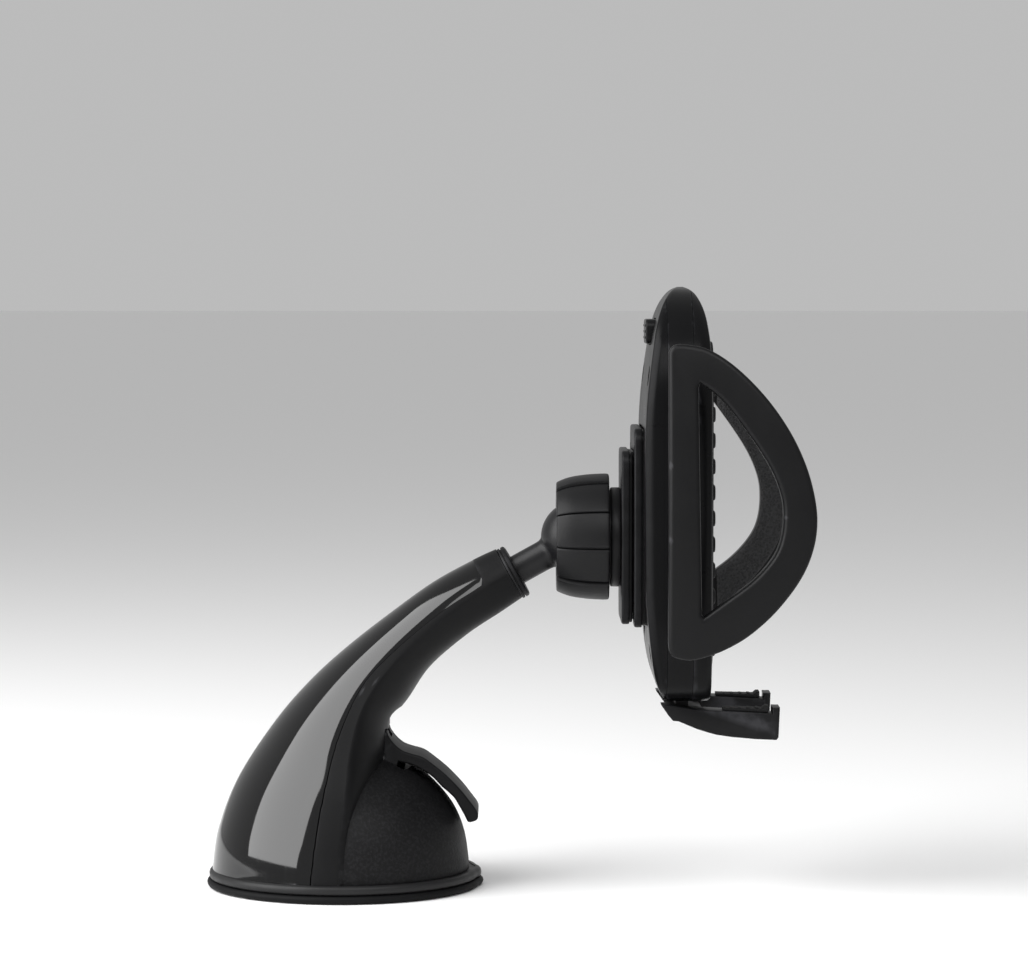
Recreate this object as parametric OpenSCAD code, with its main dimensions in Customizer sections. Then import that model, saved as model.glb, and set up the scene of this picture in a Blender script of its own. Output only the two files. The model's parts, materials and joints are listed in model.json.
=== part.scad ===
// Car phone mount: suction base with lock lever, curved arm, ball joint, clamp nut,
// slide-on cradle with two linked side arms and a drop-down foot.
// Millimetres. Z is up, +X points to the phone, X-Z is the plane of symmetry.
// The origin is the centre of the suction face.

/* [Base] */
// Outer radius of the suction pad
pad_r = 32.2; // [28:0.1:40]
// Thickness of the pad's flat rim
pad_rim_h = 1.8; // [1:0.1:3]
// Height of the pad and the ring together
base_ring_top = 4; // [3:0.1:6]
// Wall of the housing
housing_wall = 2.4; // [1.6:0.1:4]
// Thickness of the glossy cover
cover_wall = 1.5; // [1:0.1:2.5]

/* [Lock lever] */
// Pivot of the lever, forward of the pad's centre
pivot_x = 8.5; // [6:0.1:11]
// Pivot of the lever, height
pivot_z = 31; // [28:0.1:34]
// Half width of the lever
lever_half_w = 8.7; // [7:0.1:12]
// Distance from the pivot to the crank pin
crank_throw = 4.5; // [3:0.1:5]

/* [Ball joint] */
// Ball centre, forward of the pad's centre
ball_x = 54.8; // [45:0.1:65]
// Ball centre, height
ball_z = 81.8; // [70:0.1:95]
// Ball radius
ball_r = 8.5; // [6:0.1:12]
// Slope of the stud above level
stud_tilt = 29; // [0:1:35]
// Radius of the stud's rod
rod_r = 3.5; // [3:0.1:3.8]

/* [Cradle] */
// Half width of the cradle's body
body_half_w = 27.5; // [24:0.1:30]
// Underside of the cradle's body
body_bottom = 44.6; // [42:0.1:48]
// Height of the pinion's centre
pinion_z = 92.3; // [88:0.1:96]
// Teeth of the pinion, at one millimetre of module
pinion_teeth = 14; // [12:1:16]
// Inner face of a side arm at rest, from the middle
arm_inner_y = 38.5; // [34:0.1:42]
// Outer face of a side arm at rest, from the middle
arm_outer_y = 44; // [40:0.1:48]
// Thickness of the foam pads on the arms
arm_pad_t = 1.5; // [1:0.1:2.5]

/* [Hidden] */
$fn = 64;
fit = 0.05;      // radial clearance of a running fit
gap = 0.3;       // clearance between pieces that move past each other
over = 1;        // how far a cutter stands past what it cuts

// ---- Helpers ----

// Extrudes a shape drawn as (x, z) to y = from .. to
module across(from, to) {
    translate([0, to, 0])
        rotate([90, 0, 0])
            linear_extrude(height = to - from)
                children();
}

// Extrudes a shape drawn as (y, z) to x = from .. to
module along(from, to) {
    translate([from, 0, 0])
        rotate([90, 0, 90])
            linear_extrude(height = to - from)
                children();
}

// Box from one corner to the opposite one
module span(low, high) {
    translate(low)
        cube(high - low);
}

// Revolves a profile drawn as (x forward, radius) about the level axis at height z
module revolve_x(z = 0) {
    translate([0, 0, z])
        rotate([0, 90, 0])
            rotate_extrude()
                rotate([0, 0, 90])
                    mirror([0, 1, 0])
                        children();
}

// Cylinder along Y, centred
module rod_y(r, half, x, z) {
    translate([x, half, z])
        rotate([90, 0, 0])
            cylinder(r = r, h = 2 * half);
}

// Cylinder along X from x = from .. to
module rod_x(r, from, to, y, z) {
    translate([from, y, z])
        rotate([0, 90, 0])
            cylinder(r = r, h = to - from);
}

// Places children at both sides of the plane of symmetry
module both_sides() {
    children();
    mirror([0, 1, 0])
        children();
}

// Curve through four points, between the middle two
function curve(a, b, c, d, t) =
    0.5 * (2 * b + (c - a) * t + (2 * a - 5 * b + 4 * c - d) * t * t
    + (3 * b - a - 3 * c + d) * t * t * t);

// Smooth line through a list of points, with steps to each span
function smooth_line(p, steps) = [
    for (i = [0 : len(p) - 2], k = [0 : steps - 1])
        curve(p[max(i - 1, 0)], p[i], p[i + 1], p[min(i + 2, len(p) - 1)], k / steps),
    p[len(p) - 1]
];

// Triangles that close a tube of rings, with a fan at each end
function tube_faces(rings, sides) = concat(
    [for (i = [0 : rings - 2], k = [0 : sides - 1])
        [i * sides + k, i * sides + (k + 1) % sides, (i + 1) * sides + k]],
    [for (i = [0 : rings - 2], k = [0 : sides - 1])
        [i * sides + (k + 1) % sides, (i + 1) * sides + (k + 1) % sides, (i + 1) * sides + k]],
    [for (k = [1 : sides - 2]) [0, k + 1, k]],
    [for (k = [1 : sides - 2])
        [(rings - 1) * sides, (rings - 1) * sides + k, (rings - 1) * sides + k + 1]]
);

// Coil along Z from 0 to height
module coil(r, wire_r, turns, height) {
    steps = 14;
    sides = 6;
    rings = turns * steps + 1;
    points = [
        for (i = [0 : rings - 1], k = [0 : sides - 1])
            let (turn = 360 * i / steps, around = -360 * k / sides, reach = r + wire_r * cos(around))
                [reach * cos(turn), reach * sin(turn),
                 wire_r + (height - 2 * wire_r) * i / (rings - 1) + wire_r * sin(around)]
    ];
    polyhedron(points = points, faces = tube_faces(rings, sides));
}

// Pan head screw along +X with its head at the origin
module screw(head_r, head_h, shank_r, length) {
    difference() {
        cylinder(r = head_r, h = head_h);
        translate([0, 0, -over])
            span_centred(head_r * 1.1, head_r * 0.3, over + head_h / 2);
        translate([0, 0, -over])
            span_centred(head_r * 0.3, head_r * 1.1, over + head_h / 2);
    }
    translate([0, 0, head_h])
        cylinder(r = shank_r, h = length);
}

// Box centred on Z, standing on the origin
module span_centred(size_x, size_y, height) {
    translate([-size_x / 2, -size_y / 2, 0])
        cube([size_x, size_y, height]);
}

// ---- Curved arm ----

// Each row is one section of the arm: outer edge (x, z), inner edge (x, z),
// where along it the section is widest, and its half width there
arm_sections = [
    [-31, 4, 6, 4, 0.857, 30.2],
    [-29.5, 13.7, 7, 12, 0.835, 29.2],
    [-24.7, 25.7, 9, 22, 0.785, 26.4],
    [-15.9, 38.9, 11, 31, 0.69, 21.6],
    [-7.6, 48.4, 11.6, 38.6, 0.65, 18],
    [1, 56.2, 15.4, 44.2, 0.57, 14.8],
    [11, 64, 20.5, 51.6, 0.56, 11.9],
    [21, 71.2, 29, 58.9, 0.54, 9.6],
    [30.4, 76.4, 37, 64.2, 0.5, 7.8],
    [35.7, 78.9, 42, 67.6, 0.5, 6.5]
];
arm_steps = 3;
arm_sides = 28;

// One ring of points, drawn in from the outside by the wall
function arm_ring(s, wall, drop) =
    let (
        reach = [s[2] - s[0], s[3] - s[1]],
        width = norm(reach),
        way = reach / width,
        wide_at = s[4] * width
    )
    [for (k = [0 : arm_sides - 1])
        let (
            around = -360 * k / arm_sides,
            side = cos(around) > 0 ? width - wide_at - wall : wide_at - wall,
            u = wide_at + side * cos(around)
        )
        [s[0] + way[0] * u, (s[5] - wall) * sin(around), s[1] + way[1] * u - drop]];

// The arm's solid, drawn in by the wall and ending at a section
module arm_solid(wall, last, drop = 0) {
    picked = [for (i = [0 : last]) arm_sections[i]];
    line = smooth_line(picked, arm_steps);
    points = [
        for (i = [0 : len(line) - 1])
            for (p = arm_ring(line[i], wall, i == 0 ? drop : 0)) p
    ];
    polyhedron(points = points, faces = tube_faces(len(line), arm_sides));
}

last_section = len(arm_sections) - 1;
hollow_section = last_section - 2;

dome_profile = [
    [29.4, base_ring_top], [29.2, 7], [28.3, 12.5], [26.2, 17.9], [22.8, 22.6],
    [18.2, 27], [12, 31], [6, 33.4], [0, 34.2]
];

// Dome of the base, drawn in by the wall
module dome_solid(wall, drop = 0) {
    rim = dome_profile[0];
    line = smooth_line(dome_profile, 4);
    rotate_extrude()
        polygon(concat(
            [[0, base_ring_top - drop], [rim[0] - wall, base_ring_top - drop]],
            [for (p = line) [max(p[0] - wall, 0), p[1] - (p[0] < 26 ? wall * 0.6 : 0)]]
        ));
}

// Side view of the part of the arm that the glossy cover takes up
cover_edge = [
    [-6.5, 3], [-5.1, 14.8], [-3, 26.4], [-0.1, 37.4], [5.2, 48.5], [13.4, 57],
    [23.3, 65], [29.8, 69.2], [32.6, 71.6], [32.2, 74.4], [27.6, 80]
];
module cover_region(inset = 0) {
    shifted = [for (p = smooth_line(cover_edge, 3)) [p[0] - inset, p[1]]];
    across(-40, 40)
        polygon(concat(shifted, [[-20, 84], [-40, 84], [-40, 3]]));
}

guide_screw_at = 14;  // guide screws, from the base's middle
guide_top = 22;       // upper face of the stem's guide
stem_r = 2.6;
head_half = 2.9;      // half width of the stem's hook
lever_hub_r = 5.8;
lever_pin_r = 1.5;
lever_pin_half = 10.2;
crank_x = pivot_x - crank_throw * cos(30);
crank_z = pivot_z + crank_throw * sin(30);
crank_r = 1.2;
crank_pin_half = 6;

// Room in the housing for the lever: its hub, its root, and a round notch through
// the neck where its root swings up
module lever_pocket() {
    pocket_r = lever_hub_r + 3 * gap;
    notch = [14.9, 38];
    notch_r = 4.3;
    half = lever_half_w + gap;
    rod_y(pocket_r, half, pivot_x, pivot_z);
    rod_y(notch_r, 30, notch[0], notch[1]);
    across(-half, half)
        polygon([[pivot_x, pivot_z + pocket_r - 0.2], [pivot_x, 24.4], [12.5, 27.6], [16, 28.2],
                 [40, 14], [40, 37], [pivot_x + 3, 37]]);
}

// Round bosses, or their holes, for the screws that hold the stem's guide
module guide_bosses(r, low, high) {
    for (turn = [100, 180, 260])
        rotate([0, 0, turn])
            translate([guide_screw_at, 0, low])
                cylinder(r = r, h = high - low);
}
stud_back = 33;       // far end of the stud's shank, from the ball centre
arm_end = 18.1;       // end of the arm, from the ball centre

// Puts children on the stud's axis: z runs from the ball centre back to the arm
module on_stud() {
    translate([ball_x, 0, ball_z])
        rotate([0, -90 - stud_tilt, 0])
            children();
}

module base_housing() {
    color("#1b1b1d")
        difference() {
            union() {
                difference() {
                    union() {
                        dome_solid(0);
                        arm_solid(0, last_section);
                    }
                    dome_solid(housing_wall, over);
                    difference() {
                        arm_solid(housing_wall, hollow_section, over);
                        dome_solid(0, over);
                    }
                }
                intersection() {
                    guide_bosses(3, guide_top, 40);
                    dome_solid(1);
                }
                intersection() {
                    both_sides()
                        translate([0, lever_half_w + gap, 0])
                            rotate([-90, 0, 0])
                                translate([pivot_x, -pivot_z, 0])
                                    cylinder(r = 3.6, h = 5);
                    union() {
                        arm_solid(0.2, last_section);
                        dome_solid(0.2);
                    }
                }
            }
            difference() {
                cover_region();
                arm_solid(cover_wall, last_section, over);
            }
            lever_pocket();
            span([-stem_r - gap, -head_half - gap, 20], [pivot_x, head_half + gap, 40]);
            rod_y(lever_pin_r, lever_pin_half, pivot_x, pivot_z);
            guide_bosses(1.1, guide_top - over, 28);
            on_stud()
                cylinder(r = rod_r, h = stud_back);
        }
}

module arm_cover() {
    color("#08080a")
        intersection() {
            difference() {
                arm_solid(0, last_section);
                arm_solid(cover_wall, last_section, over);
            }
            cover_region();
        }
}

module suction_pad() {
    color("#26262a")
        union() {
            rotate_extrude()
                polygon([[21, 0], [pad_r, 0], [pad_r, pad_rim_h * 0.6], [pad_r - 0.5, pad_rim_h],
                         [21, pad_rim_h]]);
            linear_extrude(height = pad_rim_h * 0.7)
                polygon([[-pad_r + 0.6, -4], [-pad_r - 0.6, -2], [-pad_r - 0.6, 2],
                         [-pad_r + 0.6, 4]]);
        }
}

diaphragm_top = 6.3;

module pad_diaphragm() {
    color("#2e2e33")
        rotate_extrude()
            polygon([[21, 0.2], [21, 1.6], [17, 2.6], [10, 5.6], [6, diaphragm_top], [0, diaphragm_top],
                     [0, 5], [6, 5], [10, 4.2], [17, 1.1]]);
}

module base_ring() {
    color("#303034")
        rotate_extrude()
            polygon([[24, pad_rim_h], [31.4, pad_rim_h], [31.7, 2.2], [31.7, 3.4],
                     [31, base_ring_top], [24, base_ring_top]]);
}

module stem_guide() {
    color("#202022")
        difference() {
            union() {
                translate([0, 0, guide_top - 2])
                    cylinder(r = 19.4, h = 2);
                translate([0, 0, guide_top - 6])
                    cylinder(r = 4.4, h = 6);
            }
            translate([0, 0, guide_top - 8])
                cylinder(r = stem_r + fit, h = 10);
            guide_bosses(1.2, guide_top - 3, guide_top + over);
        }
}

module guide_screws() {
    color("#8c8c90")
        for (turn = [100, 180, 260])
            rotate([0, 0, turn])
                translate([guide_screw_at, 0, guide_top - 2 - 1.4])
                    screw(2.2, 1.4, 1.1, 6);
}

module pull_stem() {
    slot_half = crank_r + gap;
    color("#9a9aa0")
        union() {
            translate([0, 0, diaphragm_top])
                cylinder(r = 6, h = 2);
            cylinder_between(stem_r, diaphragm_top + 1, 29.5);
            difference() {
                span([-stem_r, -head_half, 28.5], [6.2, head_half, 37]);
                span([1.4, -head_half - over, crank_z - slot_half],
                     [8, head_half + over, crank_z + slot_half]);
            }
        }
}

module cylinder_between(r, low, high) {
    translate([0, 0, low])
        cylinder(r = r, h = high - low);
}

spring_low = diaphragm_top + 2;
spring_high = guide_top - 2;

module suction_spring() {
    color("#a8a8ac")
        translate([0, 0, spring_low + 0.02])
            coil(5.4, 0.5, 5, spring_high - spring_low - 0.04);
}

lever_top_line = [
    [8.5, 36.9], [10.3, 36.8], [10.9, 35.6], [12.2, 33.9], [13.9, 32.5], [16, 31.7], [18.7, 30.9],
    [21.4, 29], [24.1, 26.8], [26.5, 24.4], [28.2, 22.5], [29.9, 20.3], [31.1, 18.7], [31.6, 17.6],
    [31.6, 16.5]
];
lever_under_line = [
    [31.2, 16], [29.4, 15.6], [28.4, 17.3], [27.1, 19.6], [25.8, 21.6], [23.1, 24], [21.1, 26.1],
    [19.1, 27.5], [16.4, 28.9], [13.4, 29.7]
];

module lock_lever() {
    color("#1e1e20")
        difference() {
            intersection() {
                union() {
                    rod_y(lever_hub_r, lever_half_w, pivot_x, pivot_z);
                    across(-lever_half_w, lever_half_w)
                        polygon(concat(smooth_line(lever_top_line, 3),
                                       smooth_line(lever_under_line, 3),
                                       [[10, 30]]));
                }
                linear_extrude(height = 60)
                    lever_plan();
            }
            rod_y(lever_pin_r + fit, 20, pivot_x, pivot_z);
            rod_y(crank_r, crank_pin_half, crank_x, crank_z);
            crank_slot();
        }
}

// Lever seen from above: rounded at its free end
module lever_plan() {
    corner = 6;
    tip_x = 32;
    union() {
        translate([0, -lever_half_w])
            square([tip_x - corner, 2 * lever_half_w]);
        translate([0, -lever_half_w + corner])
            square([tip_x + over, 2 * (lever_half_w - corner)]);
        for (side = [-1, 1])
            translate([tip_x - corner, side * (lever_half_w - corner)])
                circle(r = corner);
    }
}

// Space in the middle of the hub for the stem's hook
module crank_slot() {
    half = head_half + gap;
    span([0, -half, 20], [pivot_x + 4.5, half, 40]);
}

module crank_pin() {
    color("#b0b0b4")
        rod_y(crank_r, crank_pin_half, crank_x, crank_z);
}

module lever_pin() {
    color("#b0b0b4")
        rod_y(lever_pin_r, lever_pin_half, pivot_x, pivot_z);
}

module arm_collar() {
    collar_r = 6.5;
    collar_length = 1.9;
    color("#232326")
        on_stud()
            translate([0, 0, arm_end - collar_length - 0.1])
                rotate_extrude()
                    polygon([[rod_r, 0], [collar_r - 0.5, 0], [collar_r, 0.5], [collar_r, 1.1],
                             [collar_r - 0.4, 1.2], [collar_r - 0.4, 1.5],
                             [collar_r, 1.6], [collar_r, collar_length], [rod_r, collar_length]]);
}

module ball_stud() {
    color("#1a1a1c")
        union() {
            translate([ball_x, 0, ball_z])
                sphere(r = ball_r);
            on_stud()
                cylinder(r = rod_r, h = stud_back);
        }
}

// ---- Ball joint ----

seat_in = ball_r + 0.06;
seat_out = ball_r + 1.1;
mouth_angle = 62;     // half angle of the nut's mouth, seen from the ball's centre

// Cone with its tip at the ball's centre, opening back (-X), or forward when turned
module cone_from_ball(half_angle, turned = 0) {
    reach = 12;
    translate([ball_x, 0, ball_z])
        rotate([0, -90 + turned, 0])
            cylinder(r1 = 0, r2 = reach * tan(half_angle), h = reach);
}

// Thin shell that lines the ball
module seat_shell() {
    difference() {
        sphere(r = seat_out);
        sphere(r = seat_in);
    }
}

module rear_seat() {
    color("#3a3a3d")
        difference() {
            intersection() {
                translate([ball_x, 0, ball_z])
                    seat_shell();
                cone_from_ball(80);
            }
            cone_from_ball(mouth_angle + 1);
        }
}

module front_seat() {
    color("#3a3a3d")
        intersection() {
            translate([ball_x, 0, ball_z])
                seat_shell();
            cone_from_ball(77, 180);
        }
}

nut_back = 49.9;
nut_front = 62.2;
barrel_r = 10.7;
flange_back = nut_front + gap;
flange_r = 11.65;
plate_back = 64.9;
plate_front = 67.4;

module socket_cup() {
    barrel_back = ball_x + 1;
    color("#1d1d1f")
        difference() {
            union() {
                rod_x(barrel_r, barrel_back, flange_back + 0.5, 0, ball_z);
                for (x = [barrel_back + 1.4 : 1.6 : flange_back - 1.5])
                    rod_x(barrel_r + 0.25, x, x + 0.6, 0, ball_z);
                rod_x(flange_r, flange_back, plate_back, 0, ball_z);
            }
            translate([ball_x, 0, ball_z])
                sphere(r = seat_out + 0.08);
            at_plate_screws()
                rod_x(plate_screw_r, plate_back - 1.7, plate_back + over, 0, 0);
        }
}

nut_profile = [
    [nut_back, 12.5], [nut_back + 0.4, 13], [nut_back + 3, 14], [nut_back + 6.5, 14.6],
    [nut_back + 10, 14.85], [nut_front - 0.4, 14.85], [nut_front, 14.5]
];

// Outside of the nut, drawn in by the inset
module nut_outside(inset) {
    revolve_x(ball_z)
        polygon(concat([[nut_back, 0]], [for (p = nut_profile) [p[0], p[1] - inset]],
                       [[nut_front, 0]]));
}

module clamp_nut() {
    lobes = 5;
    lobe_half = 16;
    first_lobe = -9.6;
    groove_w = 0.6;
    reach = 24;
    color("#202022")
        difference() {
            union() {
                nut_outside(0.7);
                intersection() {
                    nut_outside(0);
                    for (k = [0 : lobes - 1])
                        translate([0, 0, ball_z])
                            rotate([first_lobe + k * 360 / lobes, 0, 0])
                                along(nut_back - over, nut_front + over)
                                    polygon([[0, 0],
                                             [-reach * cos(lobe_half), -reach * sin(lobe_half)],
                                             [-reach * cos(lobe_half), reach * sin(lobe_half)]]);
                }
            }
            for (k = [0 : lobes - 1], side = [-1, 1])
                translate([0, 0, ball_z])
                    rotate([first_lobe + k * 360 / lobes + side * (lobe_half + 1), 0, 0])
                        span([nut_back - over, -20, -groove_w / 2],
                             [nut_front + over, -13, groove_w / 2]);
            translate([ball_x, 0, ball_z])
                sphere(r = seat_out + 0.1);
            rod_x(barrel_r + 0.35, ball_x + 0.6, nut_front + over, 0, ball_z);
            cone_from_ball(mouth_angle);
        }
}

plate_low = 62.2;
plate_high = 102.5;
plate_half_w = 14;
tongue_half = 8;
lip_half = 11;
lip_back = 69.2;
lip_front = 70.8;
plate_screw_r = 0.9;

// Rectangle in (y, z) with round corners
module round_rect(half_w, low, high, r) {
    union() {
        translate([-half_w, low + r])
            square([2 * half_w, high - low - 2 * r]);
        translate([-half_w + r, low])
            square([2 * (half_w - r), high - low]);
        for (side = [-1, 1], z = [low + r, high - r])
            translate([side * (half_w - r), z])
                circle(r = r);
    }
}

module at_plate_screws() {
    for (y = [-5.6, 5.6], z = [ball_z - 7, ball_z + 7])
        translate([0, y, z])
            children();
}

module mount_plate() {
    color("#161618")
        difference() {
            union() {
                along(plate_back, plate_front)
                    round_rect(plate_half_w, plate_low, plate_high, 3);
                span([plate_front, -tongue_half, plate_low + 2],
                     [lip_back, tongue_half, plate_high - gap]);
                span([lip_back, -lip_half, plate_low + 2],
                     [lip_front, lip_half, plate_high - gap]);
            }
            translate([lip_front - 1.5, 0, 0])
                at_plate_screws()
                    rotate([0, 90, 0])
                        cylinder(r = 2.1, h = 3);
            translate([plate_back - over, 0, 0])
                at_plate_screws()
                    rotate([0, 90, 0])
                        cylinder(r = plate_screw_r, h = 8);
        }
}

module plate_screws() {
    color("#8c8c90")
        translate([lip_front - 0.1, 0, 0])
            at_plate_screws()
                rotate([0, -90, 0])
                    screw(2, 1.4, plate_screw_r, lip_front - plate_back);
}

// ---- Cradle ----

rail_back = 67.7;
rail_front = 71.9;
rail_low = 61.7;
rail_high = 107.8;
rail_half_w = 17;
shell_wall = 2;
cover_front = 75;
frame_back = 75.2;
frame_front = 82.4;
panel_back = 82.6;
inner_back = 77;      // the hollow that the bars and the pinion run in
inner_front = 81.9;
pad_back = 84.2;
pad_front = 86.4;
bar_back = 77.4;
bar_front = 81.4;
bar_half_h = 2;
rack_z = pinion_z + pinion_teeth / 2;
guide_bar_near = 112.5;
guide_bar_far = 72;
axle_r = 1.5;
button_z = 130;
button_half_w = 7.3;

module rail_block() {
    color("#121214")
        difference() {
            along(rail_back, rail_front)
                round_rect(rail_half_w, rail_low, rail_high, 3);
            span([rail_back - over, -tongue_half - gap, rail_low - over],
                 [lip_back, tongue_half + gap, plate_high]);
            span([lip_back - gap, -lip_half - gap, rail_low - over],
                 [lip_front + gap, lip_half + gap, plate_high]);
            at_rail_screws()
                rod_x(1, rail_back - over, rail_front + over, 0, 0);
            at_rail_screws()
                rod_x(1.9, rail_back - over, rail_back + 1.4, 0, 0);
        }
}

module at_rail_screws() {
    for (y = [-14.2, 14.2], z = [66, 102])
        translate([0, y, z])
            children();
}

module rail_screws() {
    color("#8c8c90")
        at_rail_screws()
            translate([rail_back + 0.2, 0, 0])
                rotate([0, 90, 0])
                    screw(1.8, 1.2, 1, 7.4);
}

// Side view of the cradle's body as (x, z)
cradle_side = [
    [76, body_bottom], [74.2, 45.4], [73.2, 47.4], [72.2, 50.6], [70.8, 60], [70.1, 68],
    [69.8, 86], [69.8, 104], [70, 113], [71, 122], [72.2, 130], [73.6, 135.2], [75.8, 138.9],
    [78.4, 140.5], [81, 139.6], [83.1, 136.8], [84.2, 133.2], [85.2, 126.6], [85.3, 100],
    [85.3, 47], [84, body_bottom]
];
// Half of the front view as (y, z), from the bottom to the top
cradle_front = [
    [14, body_bottom], [20, 45.6], [24.6, 49], [27, 54.6], [body_half_w, 62], [body_half_w, 112],
    [26.8, 120], [24, 128], [18.6, 134.8], [11, 139.3], [4, 140.6]
];
// Half of the plan as (x, y), from the back to the front
cradle_plan = [
    [69.6, 16], [70.8, 20], [72.6, 24], [74.8, 26.6], [76.6, body_half_w], [82.4, body_half_w],
    [83.8, 26.8], [85.4, 25]
];

module cradle_envelope(inset) {
    front = smooth_line(cradle_front, 3);
    plan = smooth_line(cradle_plan, 2);
    intersection() {
        across(-40, 40)
            polygon(smooth_line(cradle_side, 2));
        along(60, 100)
            polygon(concat(
                [for (p = front) [p[0] - inset, inset_height(p[1], inset)]],
                [for (i = [len(front) - 1 : -1 : 0])
                    [inset - front[i][0], inset_height(front[i][1], inset)]]
            ));
        linear_extrude(height = 160)
            polygon(concat(
                [for (p = plan) [p[0], p[1] - inset]],
                [for (i = [len(plan) - 1 : -1 : 0]) [plan[i][0], inset - plan[i][1]]]
            ));
    }
}

// Moves a height toward the middle of the cradle
function inset_height(z, inset) = z < pinion_z ? z + inset : z - inset;

// Slice of the cradle's body across X
module slab(from, to) {
    intersection() {
        cradle_envelope(0);
        span([from, -50, 0], [to, 50, 160]);
    }
}

module at_cradle_screws() {
    for (y = [-19.5, 19.5], z = [56, 120])
        translate([0, y, z])
            children();
}

module back_cover() {
    color("#0b0b0d")
        difference() {
            slab(60, cover_front);
            intersection() {
                translate([1.6, 0, 0])
                    cradle_envelope(shell_wall);
                span([60, -50, 0], [cover_front + over, 50, 160]);
            }
            along(rail_back - over, cover_front)
                round_rect(rail_half_w, rail_low, rail_high, 3);
            span([lip_back - gap, -lip_half - gap, body_bottom],
                 [lip_front + gap, lip_half + gap, rail_low + over]);
            along(60, cover_front)
                round_rect(button_half_w + gap, button_z - 3.2, button_z + 3.2, 2);
            at_cradle_screws()
                rod_x(2.4, 60, 80, 0, 0);
            at_cradle_screws()
                rod_x(3.1, cover_front - 2.1, 80, 0, 0);
        }
}

// Slots of the frame's side wall for one arm's two bars
module bar_slots(rack_centre, guide_centre) {
    for (z = [rack_centre, guide_centre])
        span([inner_back, 20, z - 3.2 - gap], [inner_front, 40, z + 3.2 + gap]);
}

module body_frame() {
    color("#151517")
        difference() {
            union() {
                difference() {
                    slab(frame_back, frame_front);
                    intersection() {
                        cradle_envelope(shell_wall);
                        span([inner_back, -50, 0], [inner_front + over, 50, 160]);
                    }
                }
                both_sides()
                    span([frame_back - 2.2, 4.4, 115.8], [inner_back, 6.4, 120.2]);
                at_cradle_screws()
                    rod_x(3, cover_front - 2, inner_front, 0, 0);
                at_rail_screws()
                    rod_x(2.6, rail_front, inner_back, 0, 0);
            }
            bar_slots(rack_z + 2.6, guide_bar_far);
            mirror([0, 1, 0])
                bar_slots(mirror_z(rack_z + 2.6), guide_bar_near);
            at_cradle_screws()
                rod_x(1.1, cover_front - 3, frame_front, 0, 0);
            at_rail_screws()
                rod_x(1, rail_front - over, inner_back - 0.2, 0, 0);
            rod_y(pawl_pin_r, 8, pawl_x, pawl_z);
            rod_y(2, 4.4, pawl_x, pawl_z);
            span([inner_back - 0.7, -25, rack_z + 0.9], [inner_back + over, 25, rack_z + 4.5]);
            rod_x(axle_r, frame_back - over, inner_back + over, 0, pinion_z);
            span([frame_back - over, -pawl_half_w - 2 * gap, 98.5],
                 [inner_back + over, pawl_half_w + 2 * gap, 106]);
            span([frame_back - over, -pawl_half_w - 2 * gap, pawl_z + 3],
                 [inner_back + over, pawl_half_w + 2 * gap, pawl_z + 15.4]);
            span([inner_back, -foot_plate_half - gap, body_bottom - over],
                 [foot_plate_front + gap, foot_plate_half + gap, body_bottom + 4]);
        }
}

// Height on the other side of the pinion
function mirror_z(z) = 2 * pinion_z - z;

// Recess of the front panel for its rubber pad
recess_half_w = 20;
recess_low = 52;
recess_high = 128;
recess_corner = 8;
pad_fit = 0.2;

module front_panel() {
    color("#17171a")
        difference() {
            slab(panel_back, 90);
            along(pad_back, 90)
                round_rect(recess_half_w, recess_low, recess_high, recess_corner);
            rod_x(axle_r, panel_back - over, panel_back + 1, 0, pinion_z);
        }
}

module front_pad() {
    rib_half_w = 17.4;
    rib_half_h = 1.8;
    rib_pitch = 6;
    color("#1f1f22")
        union() {
            along(pad_back, pad_front - 0.6)
                round_rect(recess_half_w - pad_fit, recess_low + pad_fit,
                           recess_high - pad_fit, recess_corner - pad_fit);
            for (z = [recess_low + 5 : rib_pitch : recess_high - 5])
                along(pad_front - 1, pad_front)
                    round_rect(rib_half_w, z - rib_half_h, z + rib_half_h, rib_half_h - 0.1);
        }
}

module cradle_screws() {
    color("#8c8c90")
        at_cradle_screws()
            translate([cover_front - 2 - 1.4, 0, 0])
                rotate([0, 90, 0])
                    screw(2.2, 1.4, 1.1, 7);
}

module pinion_axle() {
    color("#b0b0b4")
        rod_x(axle_r, frame_back + 0.1, panel_back + 1, 0, pinion_z);
}

// ---- Rack and pinion ----

module_mm = 1;
pitch_r = pinion_teeth * module_mm / 2;
addendum = 0.72;
dedendum = 1;
pressure = 20;
base_r = pitch_r * cos(pressure);
backlash = 0.12;

function involute_angle(r) =
    let (t = sqrt(max((r / base_r) * (r / base_r) - 1, 0))) t * 180 / PI - atan(t);

// Half angle of a tooth at a radius
function tooth_half(r) =
    90 / pinion_teeth - backlash / pitch_r * 90 / PI
    + involute_angle(pitch_r) - involute_angle(max(r, base_r));

module tooth_outline() {
    radii = [pitch_r - dedendum, base_r, pitch_r, pitch_r + addendum / 2, pitch_r + addendum];
    polygon([
        for (k = [0 : pinion_teeth - 1])
            let (mid = 360 * k / pinion_teeth + 90)
                each concat(
                    [for (i = [0 : 4]) radii[i] * [cos(mid - tooth_half(radii[i])),
                                                   sin(mid - tooth_half(radii[i]))]],
                    [for (i = [4 : -1 : 0]) radii[i] * [cos(mid + tooth_half(radii[i])),
                                                        sin(mid + tooth_half(radii[i]))]]
                )
    ]);
}

module pinion() {
    color("#d8d8d4")
        difference() {
            union() {
                translate([0, 0, pinion_z])
                    along(inner_back + 0.5, bar_front - 0.4)
                        tooth_outline();
                rod_x(3, inner_back + 0.1, bar_front, 0, pinion_z);
            }
            rod_x(axle_r + fit, inner_back - over, 82, 0, pinion_z);
            translate([0, 0, pinion_z])
                along(79.4, 82)
                    difference() {
                        circle(r = 5.2);
                        circle(r = 3);
                    }
        }
}

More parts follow.
